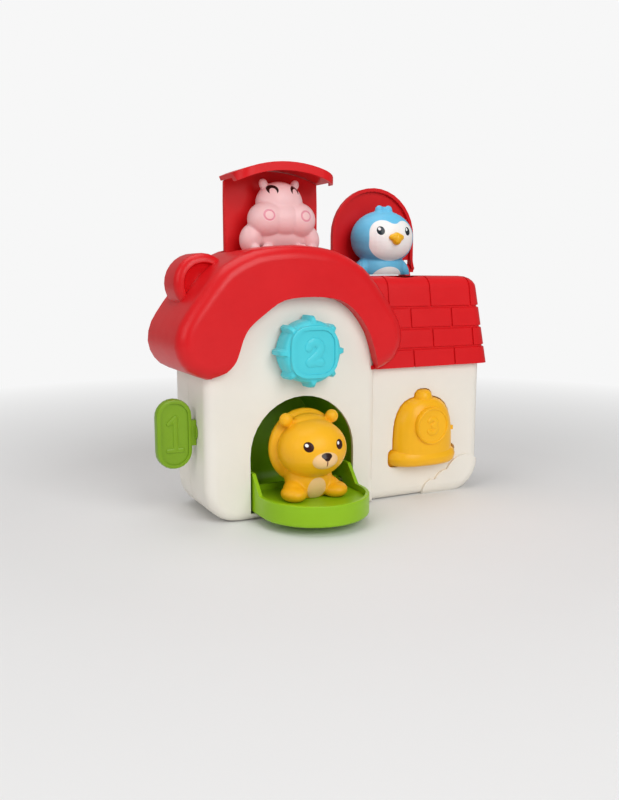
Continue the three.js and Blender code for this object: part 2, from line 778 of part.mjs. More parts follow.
function brickJoints() {
  const courseShares = [[-0.05, 0.2, 0.5], [0.2, 0.422, 0], [0.422, 0.654, 0.5], [0.654, 1.02, 0]];
  const height = brickTopZ - brickEaveZ;
  const joints = [];
  for (const [low, high, shift] of courseShares) {
    const lowZ = brickEaveZ + height * low;
    const highZ = brickEaveZ + height * high;
    for (let k = 0; k < 3; k += 1) {
      const x = brickJointX + brickLength * (k + shift);
      if (x < brickRightX - brickCornerRadius) {
        joints.push(box(x - grooveWidth / 2, x + grooveWidth / 2, brickFrontY - overrun, brickRearY + overrun,
          lowZ, highZ));
      }
    }
    for (let k = 0; k < 2 - shift * 2; k += 1) {
      const y = (brickFrontY + brickRearY) / 2 + brickLength * (k - 0.5 + shift);
      joints.push(box(brickRightX - brickLength, brickRightX + overrun, y - grooveWidth / 2,
        y + grooveWidth / 2, lowZ, Math.min(highZ, brickTopZ - brickRounding)));
    }
  }
  return join(joints);
}

function lidLug(side) {
  const x = penguinX + side * lidLugX;
  const eye = lidBarrelRadius;
  const profile = roundedOutline([
    [lidOuterY - lidLugFootHalf, brickTopZ - brickWall / 2, 0],
    [lidOuterY + lidLugFootHalf, brickTopZ - brickWall / 2, 0],
    [lidOuterY + eye, lidPivotZ + eye, eye * 0.9],
    [lidOuterY - eye, lidPivotZ + eye, eye * 0.9],
  ]);
  const bore = cylinderX(lidOuterY, lidPivotZ, lidPinRadius + fitGap, x - lidLugWidth, x + lidLugWidth,
    smallSides);
  return loftX(profile, [[x - lidLugWidth / 2, 0], [x + lidLugWidth / 2, 0]]).subtract(bore);
}

// Where the penguin dips in when its lid shuts, with a slot in front for the lid's catch tab
function lidHole() {
  const roundY = lidHoleFrontY + lidHoleHalfWidth;
  const low = brickTopZ - brickWall * 4;
  const high = brickTopZ + overrun;
  const round = cylinderZ(penguinX, roundY, lidHoleHalfWidth, low, high, roundSides);
  const straight = box(penguinX - lidHoleHalfWidth, penguinX + lidHoleHalfWidth, roundY, lidHoleRearY,
    low, high);
  const catchHalf = lidCatchWidth / 2;
  const slot = box(lidCatchX - catchHalf - fitGap, lidCatchX + catchHalf + fitGap,
    leverNoseY - catchHalf - runGap, roundY, low, high);
  return join([round, straight, slot]);
}

function brickRoof() {
  const outer = brickBody(0, grooveDepth, brickEaveZ);
  const inner = brickBody(brickWall, 0, rightBodyTopZ + fitGap);
  const jointFloor = brickBody(grooveDepth, 0, brickEaveZ - overrun);
  const grooves = brickJoints().subtract(jointFloor);
  const archRoom = loftY(grow(archRoofOutline(), fitGap), [[archFrontY - overrun, 0],
    [archRearY + fitGap, 0]]);
  const leftRoom = box(brickLeftX - overrun, stepX + fitGap, -overrun, brickRearY + overrun,
    brickEaveZ - overrun, gableTopZ);
  const bodyRoom = rightSection(-fitGap).intersect(box(stepX - overrun, rightWallX + overrun, 0,
    houseDepth + overrun, brickEaveZ - overrun * 2, rightBodyTopZ + fitGap + overrun));
  const lugs = [-1, 1].map(lidLug);
  return cut(join([outer.subtract(inner), ...lugs]), [grooves, archRoom, leftRoom, lidHole(), bodyRoom]);
}

// Alcove behind the doorway

function doorAlcove() {
  const outline = archedOutline(doorX, alcoveHalfWidth, 0, doorSpringZ);
  const backY = houseDepth - shellWall - fitGap;
  const outer = loftY(grow(outline, alcoveWall), [[shellWall + fitGap, 0], [backY, 0]]);
  const inner = loftY(outline, [[0, 0], [backY - alcoveBackWall, 0]]);
  const bodyInset = shellWall + fitGap;
  const lining = leftSection(bodyInset).subtract(leftSection(bodyInset + alcoveLining));
  const behindDoor = loftY(grow(outline, alcoveWall), [[doorRearY, 0], [backY, 0]]);
  const pinHoles = cylinderX(doorPivotY, doorPivotZ, hingePinRadius + fitGap, doorX - doorHalfWidth * 2,
    doorX + doorHalfWidth * 2, smallSides);
  const noseRoom = box(doorX - doorLatchNoseHalf - dialLatchStroke - runGap,
    doorX + doorLatchNoseHalf + runGap, doorLatchY - runGap, doorLatchY + latchThickness + runGap,
    doorSpringZ + alcoveHalfWidth / 2, doorSpringZ + alcoveHalfWidth * 2);
  const hood = outer.subtract(inner).intersect(leftSection(bodyInset));
  return cut(hood.add(lining.intersect(behindDoor)), [pinHoles, noseRoom]);
}

// The plan of the door, which lies as a tray: a half round front with straight sides back to the hinge
function trayOutline(inset) {
  const half = doorRadius - inset;
  const centreY = doorPivotY + doorPivotZ - doorSpringZ;
  const steps = 20;
  const rearY = doorRearY - inset;
  const points = [new THREE.Vector2(doorX + half, rearY), new THREE.Vector2(doorX - half, rearY)];
  for (let k = 0; k <= steps; k += 1) {
    const turn = Math.PI + Math.PI * k / steps;
    points.push(new THREE.Vector2(doorX + half * Math.cos(turn), centreY + half * Math.sin(turn)));
  }
  return points;
}

function doorShell() {
  const tub = loftZ(trayOutline(0), roundedEnds(doorUnderZ, doorRimZ, doorEdgeRadius, doorSkin / 4, 3));
  const pocket = loftZ(trayOutline(doorSkin), [[doorUnderZ + doorSkin, 0], [doorRimZ + overrun, 0]]);
  const cheekProfile = roundedOutline([
    [cheekY - cheekTopWidth * 2, doorUnderZ + doorSkin, 0],
    [doorRearY, doorUnderZ + doorSkin, 0],
    [doorRearY, doorRimZ - doorSkin, doorSkin],
    [cheekY + cheekTopWidth * 0.7, cheekTopZ, cheekTopWidth * 0.5],
    [cheekY - cheekTopWidth * 0.5, cheekTopZ, cheekTopWidth * 0.3],
    [cheekY - cheekTopWidth * 2, doorRimZ - doorSkin / 2, 0],
  ]);
  const cheeks = [-1, 1].map((side) => {
    const outside = doorX + side * doorRadius;
    const inside = outside - side * doorSkin;
    return loftX(cheekProfile, [[Math.min(outside, inside), 0], [Math.max(outside, inside), 0]]);
  });
  const pinHole = cylinderX(doorPivotY, doorPivotZ, hingePinRadius + fitGap, doorX - doorHalfWidth * 2,
    doorX + doorHalfWidth * 2, smallSides);
  return join([tub.subtract(pocket), ...cheeks]).subtract(pinHole);
}

function trayFloor() {
  const lowZ = doorFloorZ - doorFloorThickness;
  const plate = loftZ(trayOutline(doorSkin + fitGap), [[lowZ, 0], [doorFloorZ, 0]]);
  const footZ = doorUnderZ + doorSkin + fitGap;
  const ribWidth = doorFloorThickness / 2;
  const ribs = [-1, 1].map((side) => {
    const x = doorX + side * doorRadius * 0.55;
    return box(x - ribWidth / 2, x + ribWidth / 2, -doorRadius / 2, doorPivotY - hingePinRadius * 2, footZ,
      lowZ + ribWidth);
  });
  const pinRooms = [-1, 1].map((side) => {
    const x = doorX + side * (doorRadius - doorSkin);
    return box(x - doorSkin * 2, x + doorSkin * 2, doorPivotY - hingePinRadius * 2.2,
      doorPivotY + hingePinRadius * 2.2, lowZ - overrun, doorFloorZ + overrun);
  });
  const screwHole = cylinderZ(doorX, lionScrewY, screwShankRadius + fitGap, lowZ - overrun,
    doorFloorZ + overrun, smallSides);
  return cut(join([plate, ...ribs]), [...pinRooms, screwHole]);
}

function doorPin(side) {
  const inside = doorX + side * (doorRadius - doorSkin - fitGap);
  const outside = doorX + side * (alcoveHalfWidth + alcoveWall + hingePinRadius / 2);
  const headEnd = inside - side * hingePinRadius * 0.6;
  const head = cylinderX(doorPivotY, doorPivotZ, hingePinRadius * 1.6, inside, headEnd, smallSides);
  return cylinderX(doorPivotY, doorPivotZ, hingePinRadius, headEnd, outside, smallSides).add(head);
}

// Torsion spring round the right hinge pin, one leg on the alcove and one on the cheek
function doorSpring() {
  const wireRadius = fitGap;
  const radius = hingePinRadius + wireRadius * 3.4;
  const start = doorX + doorRadius + wireRadius * 2.4;
  const length = alcoveHalfWidth - doorRadius - wireRadius * 4.8;
  const coil = coilPoints(radius, length, 2.5, 10);
  const legs = [new THREE.Vector3(radius, -hingePinRadius * 3, 0), ...coil,
    coil.at(-1).clone().add(new THREE.Vector3(0, -hingePinRadius * 3, 0))];
  return wire(legs, wireRadius).rotate([0, 90, 0]).translate([start, doorPivotY, doorPivotZ]);
}

// Animals, each grown from rounded masses. A row of shares gives a mass its place across, along and up
// from the figure's foot and its three half sizes, all in figure heights.

function figure(x, y, z, height, rows, sides) {
  return join(rows.map(([across, along, up, halfX, halfY, halfZ]) => ellipsoid(x + height * across,
    y + height * along, z + height * up, height * halfX, height * halfY, height * halfZ, sides)));
}

function bothSides(rows) {
  return rows.flatMap(([across, ...rest]) => [[-across, ...rest], [across, ...rest]]);
}

function lionFigure() {
  const footZ = doorFloorZ + fitGap;
  const headShares = [[0, -0.225, 0.57, 0.405, 0.36, 0.335], [0, -0.53, 0.49, 0.15, 0.085, 0.105]];
  const bodyShares = [[0, -0.13, 0.2, 0.27, 0.25, 0.27]];
  const earShares = [[0.29, -0.15, 0.905, 0.08, 0.08, 0.085]];
  const pawShares = [[0.26, -0.285, 0.075, 0.148, 0.171, 0.094]];
  const maneRadius = lionHeight * 0.445;
  const maneZ = footZ + lionHeight * 0.555;
  const maneHalf = lionHeight * 0.15;
  const mane = loftY(circleOutline(doorX, maneZ, maneRadius), roundedEnds(-maneHalf, maneHalf, maneHalf / 2,
    maneHalf / 2));
  const masses = [mane, figure(doorX, 0, footZ, lionHeight, [...headShares, ...bodyShares], wellSides),
    figure(doorX, 0, footZ, lionHeight, bothSides([...earShares, ...pawShares]), smallSides)];
  const below = box(doorX - doorRadius, doorX + doorRadius, -doorRadius, doorRadius, -doorRadius, footZ);
  const screwHole = cylinderZ(doorX, lionScrewY, screwShankRadius + fitGap / 2, footZ - overrun,
    footZ + screwGrip, smallSides);
  return cut(join(masses), [below, screwHole]);
}

function lionScrew() {
  const lowZ = doorFloorZ - doorFloorThickness;
  return screwAlongY(doorX, 0, 0, screwHeadRadius * 0.8, screwShankRadius - fitGap / 2,
    doorFloorThickness + screwGrip * 0.8).rotate([90, 0, 0]).translate([0, lionScrewY, lowZ - fitGap]);
}

// Lift that carries the hippo

function liftShaft() {
  const outer = box(liftX - shaftHalfWidth, liftX + shaftHalfWidth, shaftFrontY, shaftRearY, shaftFloorZ,
    shaftTopZ);
  const innerHalf = shaftHalfWidth - shaftWall;
  const inner = box(liftX - innerHalf, liftX + innerHalf, shaftFrontY + shaftWall, shaftRearY - shaftWall,
    shaftFloorZ + shaftWall, shaftTopZ + overrun);
  const seat = cylinderZ(liftX, liftSpringY, springSeatRadius, shaftFloorZ + shaftWall / 2,
    shaftFloorZ + shaftWall + springSeatHeight, wellSides);
  const latchWindow = box(liftX - shaftHalfWidth - overrun, liftX - shaftHalfWidth + shaftWall * 2,
    keyCatchY - hippoLatchNoseDepth - keyLatchStroke - runGap, liftBackFrontY + runGap,
    keyCatchZ - keyCatchHalf - runGap, keyCatchZ + keyCatchHalf + runGap);
  return outer.subtract(inner).add(seat).subtract(latchWindow);
}

// The top of the lift is one arc; its underside and the back plate follow it
function capArc(drop, halfWidth, steps = 14) {
  const radius = (liftCapHalfWidth ** 2 + liftCapDrop ** 2) / (2 * liftCapDrop);
  const reach = Math.asin(halfWidth / radius);
  return Array.from({ length: steps + 1 }, (unused, k) => {
    const turn = reach * (1 - 2 * k / steps);
    return new THREE.Vector2(liftX + (radius - drop) * Math.sin(turn),
      liftCapCrestZ - radius + (radius - drop) * Math.cos(turn));
  });
}

// Seen from above: square behind, rounded in front
function liftCapPlan() {
  return roundedOutline([
    [liftX - liftCapHalfWidth, liftCapFrontY, liftCapCornerRadius],
    [liftX + liftCapHalfWidth, liftCapFrontY, liftCapCornerRadius],
    [liftX + liftCapHalfWidth, liftCapRearY, 0],
    [liftX - liftCapHalfWidth, liftCapRearY, 0],
  ], cornerSteps + 2);
}

function liftCap() {
  const strip = (top, bottom, rearY) => loftY([...capArc(top, liftCapHalfWidth),
    ...capArc(bottom, liftCapHalfWidth).reverse()], [[liftCapFrontY, 0], [rearY, 0]]);
  const lowZ = liftCapCrestZ - liftCapDrop * 3;
  const plan = liftCapPlan();
  const column = (inset) => loftZ(plan, [[lowZ, inset], [liftCapCrestZ + overrun, inset]]);
  const rim = strip(liftCapThickness / 2, liftCapThickness * 1.8, liftCapFrontY + liftCapCornerRadius)
    .subtract(column(liftCapThickness * 0.7));
  return strip(0, liftCapThickness, liftCapRearY).add(rim).intersect(column(0));
}

function liftBack() {
  const topArc = capArc(liftCapThickness + fitGap, liftCapHalfWidth - fitGap * 3);
  const neckZ = liftCapCrestZ - liftCapDrop * 3;
  const outline = [
    new THREE.Vector2(liftX - liftBackHalfWidth, liftBackBottomZ),
    new THREE.Vector2(liftX + liftBackHalfWidth, liftBackBottomZ),
    new THREE.Vector2(liftX + liftBackHalfWidth, neckZ),
    ...topArc,
    new THREE.Vector2(liftX - liftBackHalfWidth, neckZ),
  ];
  const plate = loftY(outline, [[liftBackFrontY, 0], [liftBackFrontY + liftBackThickness, 0]]);
  const catchZ = keyCatchZ + liftTravel;
  const catchHole = box(keyCatchX0 - fitGap, keyCatchX1 + fitGap, liftBackFrontY - overrun,
    liftBackFrontY + liftBackThickness + overrun, catchZ - keyCatchHalf - fitGap,
    catchZ + keyCatchHalf + fitGap);
  return plate.subtract(catchHole);
}

function liftPlatform() {
  const plan = roundedOutline([
    [liftX - platformHalfWidth, platformFrontY, platformCornerRadius],
    [liftX + platformHalfWidth, platformFrontY, platformCornerRadius],
    [liftX + platformHalfWidth, liftBackFrontY - fitGap, 0],
    [liftX - platformHalfWidth, liftBackFrontY - fitGap, 0],
  ]);
  const underZ = platformZ - platformThickness;
  const plate = loftZ(plan, [[underZ, 0], [platformZ, 0]]);
  const seat = cylinderZ(liftX, liftSpringY, springSeatRadius, underZ - springSeatHeight,
    underZ + platformThickness / 2, wellSides);
  return plate.add(seat);
}

function liftSpring() {
  const low = shaftFloorZ + shaftWall + liftSpringWire / 2;
  const high = platformZ - platformThickness - liftSpringWire / 2 - fitGap;
  return wire(coilPoints(liftSpringRadius, high - low, 9), liftSpringWire / 2)
    .translate([liftX, liftSpringY, low]);
}

function hippoFigure() {
  const footZ = platformZ + fitGap;
  const centreShares = [[0, 0.02, 0.66, 0.335, 0.233, 0.28], [0, -0.08, 0.435, 0.489, 0.22, 0.24],
    [0, 0.02, 0.237, 0.404, 0.2, 0.268]];
  const sideShares = [[0.231, 0.04, 0.9, 0.06, 0.055, 0.08], [0.43, -0.06, 0.18, 0.149, 0.16, 0.2],
    [0.25, -0.13, 0.11, 0.117, 0.126, 0.127]];
  const masses = [figure(liftX, hippoY, footZ, hippoHeight, centreShares, wellSides),
    figure(liftX, hippoY, footZ, hippoHeight, bothSides(sideShares), smallSides)];
  const room = box(liftX - platformHalfWidth, liftX + platformHalfWidth, platformFrontY,
    liftBackFrontY - fitGap, footZ, footZ + hippoHeight * 2);
  return join(masses).intersect(room);
}

// Penguin and its lid

function lidOutline(inset) {
  const flareZ = lidCentreZ - lidRadius * 0.52;
  const points = roundedOutline([
    [penguinX - lidFootHalfWidth, lidFootZ, 0],
    [penguinX + lidFootHalfWidth, lidFootZ, 0],
    [penguinX + lidRadius, flareZ, lidRadius * 0.4],
    [penguinX + lidRadius, lidCentreZ, 0],
    [penguinX - lidRadius, lidCentreZ, 0],
    [penguinX - lidRadius, flareZ, lidRadius * 0.4],
  ], 4);
  const top = points.findIndex((point) => point.y === lidCentreZ);
  const steps = 18;
  const arc = Array.from({ length: steps - 1 }, (unused, k) => {
    const turn = Math.PI * (k + 1) / steps;
    return new THREE.Vector2(penguinX + lidRadius * Math.cos(turn), lidCentreZ + lidRadius * Math.sin(turn));
  });
  points.splice(top + 1, 0, ...arc);
  return grow(points, -inset);
}

function penguinLid() {
  const rim = loftY(lidOutline(0), roundedEnds(lidRimY, lidOuterY, 0, doorEdgeRadius, 3));
  const footHalf = lidFootHalfWidth - doorSkin * 2;
  const dish = loftY(lidOutline(doorSkin), [[lidRimY - overrun, 0], [lidInnerY, 0]]);
  const openFoot = box(penguinX - footHalf, penguinX + footHalf, lidRimY - overrun, lidInnerY,
    lidFootZ - overrun, lidFootZ + doorSkin * 2);
  const barrel = cylinderX(lidOuterY, lidPivotZ, lidBarrelRadius, penguinX - lidFootHalfWidth,
    penguinX + lidFootHalfWidth, wellSides);
  const below = (rearY, topZ) => box(penguinX - lidFootHalfWidth * 2, penguinX + lidFootHalfWidth * 2,
    lidRimY - overrun, rearY, lidFootZ - overrun, topZ);
  const heels = [below(lidOuterY + overrun, lidPivotZ - lidBarrelRadius), below(lidOuterY - lidBarrelRadius,
    lidPivotZ)];
  const notches = [-1, 1].map((side) => {
    const inner = penguinX + side * (lidLugX - lidLugWidth / 2 - fitGap - (side < 0 ? lidSpringRoom : 0));
    const outer = penguinX + side * (lidLugX + lidLugWidth / 2 + fitGap);
    return box(inner, outer, lidRimY - overrun, lidOuterY + lidBarrelRadius * 2, lidFootZ - overrun,
      lidPivotZ + lidLugFootHalf + runGap);
  });
  const rodHole = cylinderX(lidOuterY, lidPivotZ, lidPinRadius + fitGap, penguinX - lidFootHalfWidth * 2,
    penguinX + lidFootHalfWidth * 2, smallSides);
  const catchHalf = lidCatchWidth / 2;
  const lidCatch = box(lidCatchX - catchHalf, lidCatchX + catchHalf, lidInnerY - lidCatchReach,
    lidInnerY + doorEdgeRadius / 2, lidCatchZ - catchHalf, lidCatchZ + catchHalf);
  const plate = cut(rim, [dish, openFoot]);
  return cut(join([plate, barrel, lidCatch]), [...heels, ...notches, rodHole]);
}

function lidRod() {
  const reach = lidFootHalfWidth + lidBarrelRadius / 2;
  return cylinderX(lidOuterY, lidPivotZ, lidPinRadius, penguinX - reach, penguinX + reach, smallSides);
}

// Torsion spring on the lid rod, in the notch beside the left lug
function lidSpring() {
  const wireRadius = fitGap;
  const radius = lidPinRadius + wireRadius * 3;
  const length = lidSpringRoom - wireRadius * 6;
  const coil = coilPoints(radius, length, 4);
  const start = penguinX - lidLugX + lidLugWidth / 2 + wireRadius * 3;
  const legs = [coil[0].clone().add(new THREE.Vector3(0, -lidBarrelRadius, 0)), ...coil];
  return wire(legs, wireRadius).rotate([0, 90, 0]).translate([start, lidOuterY, lidPivotZ]);
}

function penguinFigure() {
  const centreShares = [[0, 0, 0.555, 0.5, 0.415, 0.405], [0, 0.02, 0.1, 0.385, 0.27, 0.28]];
  const sideShares = [[0.08, -0.03, 0.93, 0.09, 0.07, 0.1], [0.36, 0.02, 0.1, 0.09, 0.13, 0.19]];
  const masses = [figure(penguinX, penguinY, penguinFootZ, penguinHeight, centreShares, wellSides + 4),
    figure(penguinX, penguinY, penguinFootZ, penguinHeight, bothSides(sideShares), smallSides)];
  const room = box(penguinX - lidRadius, penguinX + lidRadius, 0, lidInnerY - fitGap, penguinFootZ,
    penguinFootZ + penguinHeight * 2);
  const barrelRoom = box(penguinX - lidRadius, penguinX + lidRadius, lidOuterY - lidBarrelRadius - fitGap,
    lidOuterY, penguinFootZ - overrun, lidPivotZ + lidBarrelRadius + fitGap);
  return join(masses).intersect(room).subtract(barrelRoom);
}

// Key on the left wall, with its cam and latch

function key() {
  const half = keyThickness / 2;
  const outline = (inset) => rectangle(keyCentreX - keyWidth / 2 + inset, keyCentreX + keyWidth / 2 - inset,
    keyZ - keyHeight / 2 + inset, keyZ + keyHeight / 2 - inset, keyWidth / 2 - inset - fitGap, 6);
  const plate = loftY(outline(0), roundedEnds(keyY - half, keyY + half, half / 2, half / 2, 2));
  const fields = [-1, 1].map((side) => {
    const from = keyY + side * (half - keyRim * 0.4);
    const to = keyY + side * (half + overrun);
    return loftY(outline(keyRim), [[Math.min(from, to), 0], [Math.max(from, to), 0]]);
  });
  const bitStart = keyCentreX + keyWidth / 2 - keyRim / 2;
  const bit = box(bitStart, leftWallX - fitGap, keyY - half * 0.8, keyY + half * 0.8, keyZ - keyBitHalfHeight,
    keyZ + keyBitHalfHeight);
  const shaft = cylinderX(keyY, keyZ, keyShaftRadius, leftWallX - runGap * 2, keyCamX - fitGap, wellSides);
  const stud = cylinderX(keyY, keyZ, keyShaftRadius / 2, keyCamX - runGap * 2, keyCamX + camThickness,
    smallSides);
  return join([plate.subtract(join(fields)), bit, shaft, stud]);
}

function keyCam() {
  const disc = cylinderX(keyY, keyZ, keyCrank + crankPinRadius * 2, keyCamX, keyCamX + camThickness,
    wellSides);
  const pin = cylinderX(keyY, keyZ + keyCrank, crankPinRadius, keyCamX + camThickness / 2,
    keyLatchX + latchThickness + runGap, smallSides);
  const bore = cylinderX(keyY, keyZ, keyShaftRadius / 2 + fitGap, keyCamX - overrun,
    keyCamX + camThickness + overrun, smallSides);
  return disc.add(pin).subtract(bore);
}

// Slides back by the cam's pin and frees the lift; its nose reaches into the shaft
function hippoLatch() {
  const pinDrop = keyCrank * (1 - Math.cos(THREE.MathUtils.degToRad(keyTurn)));
  const slotLow = keyZ + keyCrank - pinDrop - crankPinRadius - runGap;
  const slotHigh = keyZ + keyCrank + crankPinRadius + runGap;
  const slotHalf = crankPinRadius + runGap * 1.6;
  const edge = latchThickness;
  const front = keyPegY - pegRadius - fitGap - edge;
  const rear = keyPegY + pegRadius + fitGap + keyLatchStroke + edge;
  const plate = (y0, y1, z0, z1) => box(keyLatchX, keyLatchX + latchThickness, y0, y1, z0, z1);
  const hole = (y0, y1, z0, z1) => box(keyLatchX - overrun, keyLatchX + latchThickness + overrun, y0, y1,
    z0, z1);
  const strip = plate(front, rear, slotLow - edge, keyCatchZ + keyCatchHalf);
  const arm = plate(front, keyCatchY, keyCatchZ - keyCatchHalf, keyCatchZ + keyCatchHalf);
  const nose = box(keyLatchX, keyCatchX1, keyCatchY - hippoLatchNoseDepth, keyCatchY,
    keyCatchZ - keyCatchHalf, keyCatchZ + keyCatchHalf);
  const pegSlots = keyPegZs.map((z) => hole(keyPegY - pegRadius - fitGap, rear - edge, z - pegRadius - fitGap,
    z + pegRadius + fitGap));
  const pinSlot = hole(keyY - slotHalf, keyY + slotHalf, slotLow, slotHigh);
  return cut(join([strip, arm, nose]), [pinSlot, ...pegSlots]);
}

// Dial on the gable, with its cam and latch

// A round dial with narrow ridges along its side
function dial() {
  const ridgeTurn = 2 * Math.PI / dialRidgeCount;
  const ridgeHalfTurn = dialRidgeWidth / dialRadius / 2;
  const turnShares = [[-1, 0], [-0.45, 1], [0.45, 1], [1, 0]];
  const outline = Array.from({ length: dialRidgeCount }, (unused, k) => {
    const ridge = turnShares.map(([along, up]) => [ridgeTurn * k + ridgeHalfTurn * along, dialRidge * up]);
    const rest = ridgeTurn - ridgeHalfTurn * 2;
    const plain = [1, 2].map((step) => [ridgeTurn * k + ridgeHalfTurn + rest * step / 3, 0]);
    return [...ridge, ...plain];
  }).flat().map(([turn, rise]) => new THREE.Vector2(doorX + (dialRadius + rise) * Math.cos(turn),
    dialZ + (dialRadius + rise) * Math.sin(turn)));
  const edgeShares = [[0, 0.86], [0.06, 0.93], [0.18, 0.985], [0.4, 1], [0.94, 1], [1, 0.95]];
  const body = ringsAlongY(edgeShares.map(([along, size]) => ({
    at: dialFrontY + (dialBackY - dialFrontY) * along,
    outline: scaled(outline, doorX, dialZ, size),
  })));
  const plateOutline = (inset) => rectangle(doorX - dialPlateHalf + inset, doorX + dialPlateHalf - inset,
    dialZ - dialPlateHalf + inset, dialZ + dialPlateHalf - inset, dialPlateRadius - inset);
  const plate = loftY(plateOutline(0), roundedEnds(dialFrontY - dialPlateRise, dialFrontY + dialPlateRise,
    dialPlateRise / 2, 0, 2));
  const field = loftY(plateOutline(keyRim), [[dialFrontY - dialPlateRise * 2, 0],
    [dialFrontY - dialPlateRise / 2, 0]]);
  const shaft = cylinderY(doorX, dialZ, dialShaftRadius, dialBackY - overrun, dialCamY - fitGap, wellSides);
  const pilot = cylinderY(doorX, dialZ, screwShankRadius + fitGap / 2, dialCamY - screwGrip, dialCamY,
    smallSides);
  return join([body, plate, shaft]).subtract(field).subtract(pilot);
}

function dialCam() {
  const disc = cylinderY(doorX, dialZ, camRadius, dialCamY, dialCamY + camThickness, wellSides);
  const pin = cylinderY(doorX, dialZ - dialCrank, crankPinRadius, dialCamY + camThickness / 2,
    doorLatchY + latchThickness + runGap, smallSides);
  const bore = cylinderY(doorX, dialZ, screwShankRadius + fitGap, dialCamY - overrun,
    dialCamY + camThickness + overrun, smallSides);
  return disc.add(pin).subtract(bore);
}

function dialScrew() {
  return screwAlongY(doorX, dialZ, dialCamY + camThickness + fitGap, screwHeadRadius * 0.72,
    screwShankRadius - fitGap / 2, dialCamY - screwGrip * 0.8);
}

// Slides aside by the cam's pin; its nose stands over the shut door
function doorLatch() {
  const turned = THREE.MathUtils.degToRad(dialTurn);
  const slotLow = dialZ - dialCrank - crankPinRadius - runGap;
  const slotHigh = dialZ - dialCrank * Math.cos(turned) + crankPinRadius + runGap;
  const slotHalf = crankPinRadius + runGap * 1.7;
  const edge = latchThickness * 0.8;
  const barHalf = pegRadius + fitGap + edge;
  const piece = (x0, x1, z0, z1) => box(x0, x1, doorLatchY, doorLatchY + latchThickness, z0, z1);
  const hole = (x0, x1, z0, z1) => box(x0, x1, doorLatchY - overrun, doorLatchY + latchThickness + overrun,
    z0, z1);
  const [leftPeg, rightPeg] = doorPegXs;
  const bar = piece(leftPeg - barHalf, rightPeg + barHalf + dialLatchStroke, doorLatchZ - barHalf,
    doorLatchZ + barHalf);
  const tab = piece(doorX - slotHalf - edge, doorX + slotHalf + edge, doorLatchZ, slotHigh + edge);
  const nose = piece(doorX - doorLatchNoseHalf, doorX + doorLatchNoseHalf,
    doorSpringZ + doorHalfWidth + fitGap * 2, doorLatchZ);
  const pegSlots = doorPegXs.map((x) => hole(x - pegRadius - fitGap, x + pegRadius + fitGap + dialLatchStroke,
    doorLatchZ - pegRadius - fitGap, doorLatchZ + pegRadius + fitGap));
  const pinSlot = hole(doorX - slotHalf, doorX + slotHalf, slotLow, slotHigh);
  return cut(join([bar, tab, nose]), [pinSlot, ...pegSlots]);
}

// Bell button on the low front, and the lever that it pushes

// One level section of the bell, flat behind and full in front
function bellSection(halfWidth, depth, rearY) {
  const fullness = 2.5;
  const steps = 14;
  return Array.from({ length: steps + 1 }, (unused, k) => {
    const turn = Math.PI * (1 + k / steps);
    const across = Math.sign(Math.cos(turn)) * Math.abs(Math.cos(turn)) ** (2 / fullness);
    const out = Math.abs(Math.sin(turn)) ** (2 / fullness);
    return new THREE.Vector2(bellX + halfWidth * across, rearY - depth * out);
  });
}

// The bell's body, inset by a wall: level sections that grow over the rim and shrink to the knob
function bellBody(wall, rearY) {
  const bodyDepth = rearY - bellFrontY;
  const rimDepth = bodyDepth + bellRimRise;
  const rimRadius = (bellRimTopZ - bellBottomZ) * 0.45;
  const depthShare = 0.6;
  const section = (z, half, depth) => ({ at: z, outline: bellSection(half - wall, depth - wall, rearY) });
  const rim = loftRings(roundedEnds(bellBottomZ + wall, bellRimTopZ - wall, rimRadius - wall / 2,
    rimRadius - wall / 2).map(([z, inset]) => section(z, bellRimHalfWidth - inset, rimDepth - inset)));
  const domeEdge = bellDomeEdge();
  const dome = loftRings([[bellBodyHalfWidth, bellRimTopZ - rimRadius], ...domeEdge].map(([half, z]) =>
    section(z - wall, half, bodyDepth * (half / bellBodyHalfWidth) ** depthShare)));
  return rim.add(dome);
}

function bellKnob(rearY) {
  const knobDepth = rearY - bellFrontY * 0.2;
  const knobRadius = bellKnobHalfWidth * 0.7;
  const stations = roundedEnds(bellShoulderZ - bellKnobHalfWidth, bellTopZ, 0, knobRadius);
  return loftRings(stations.map(([z, inset]) => ({
    at: z,
    outline: bellSection(bellKnobHalfWidth - inset, knobDepth - inset, rearY),
  })));
}

function bellButton() {
  const backY = stepSetback + shellWall + fitGap;
  const flangeY = backY + overrun * 2;
  const disc = cylinderY(bellX, bellDiscZ, bellDiscRadius, bellFrontY - bellDiscRise, stepSetback,
    roundSides);
  const flange = loftY(grow(bellOutline(), doorSkin), [[backY, 0], [flangeY, 0]]);
  const plungerEnd = leverPadY - fitGap;
  const plunger = cylinderY(leverX, bellPlungerZ, bellPlungerRadius, stepSetback,
    plungerEnd - bellPlungerRadius / 2, smallSides);
  const tip = ellipsoid(leverX, plungerEnd - bellPlungerRadius, bellPlungerZ, bellPlungerRadius,
    bellPlungerRadius, bellPlungerRadius, smallSides);
  const crossRib = box(bellX + bellKnobHalfWidth, bellX + bellBodyHalfWidth - doorSkin / 2, 0,
    backY + overrun, bellPlungerZ - bellPlungerRadius / 2, bellPlungerZ + bellPlungerRadius / 2);
  const whole = join([bellBody(0, flangeY), bellKnob(flangeY), flange, disc]);
  return join([whole.subtract(bellBody(doorSkin, flangeY + overrun)), plunger, tip, crossRib]);
}

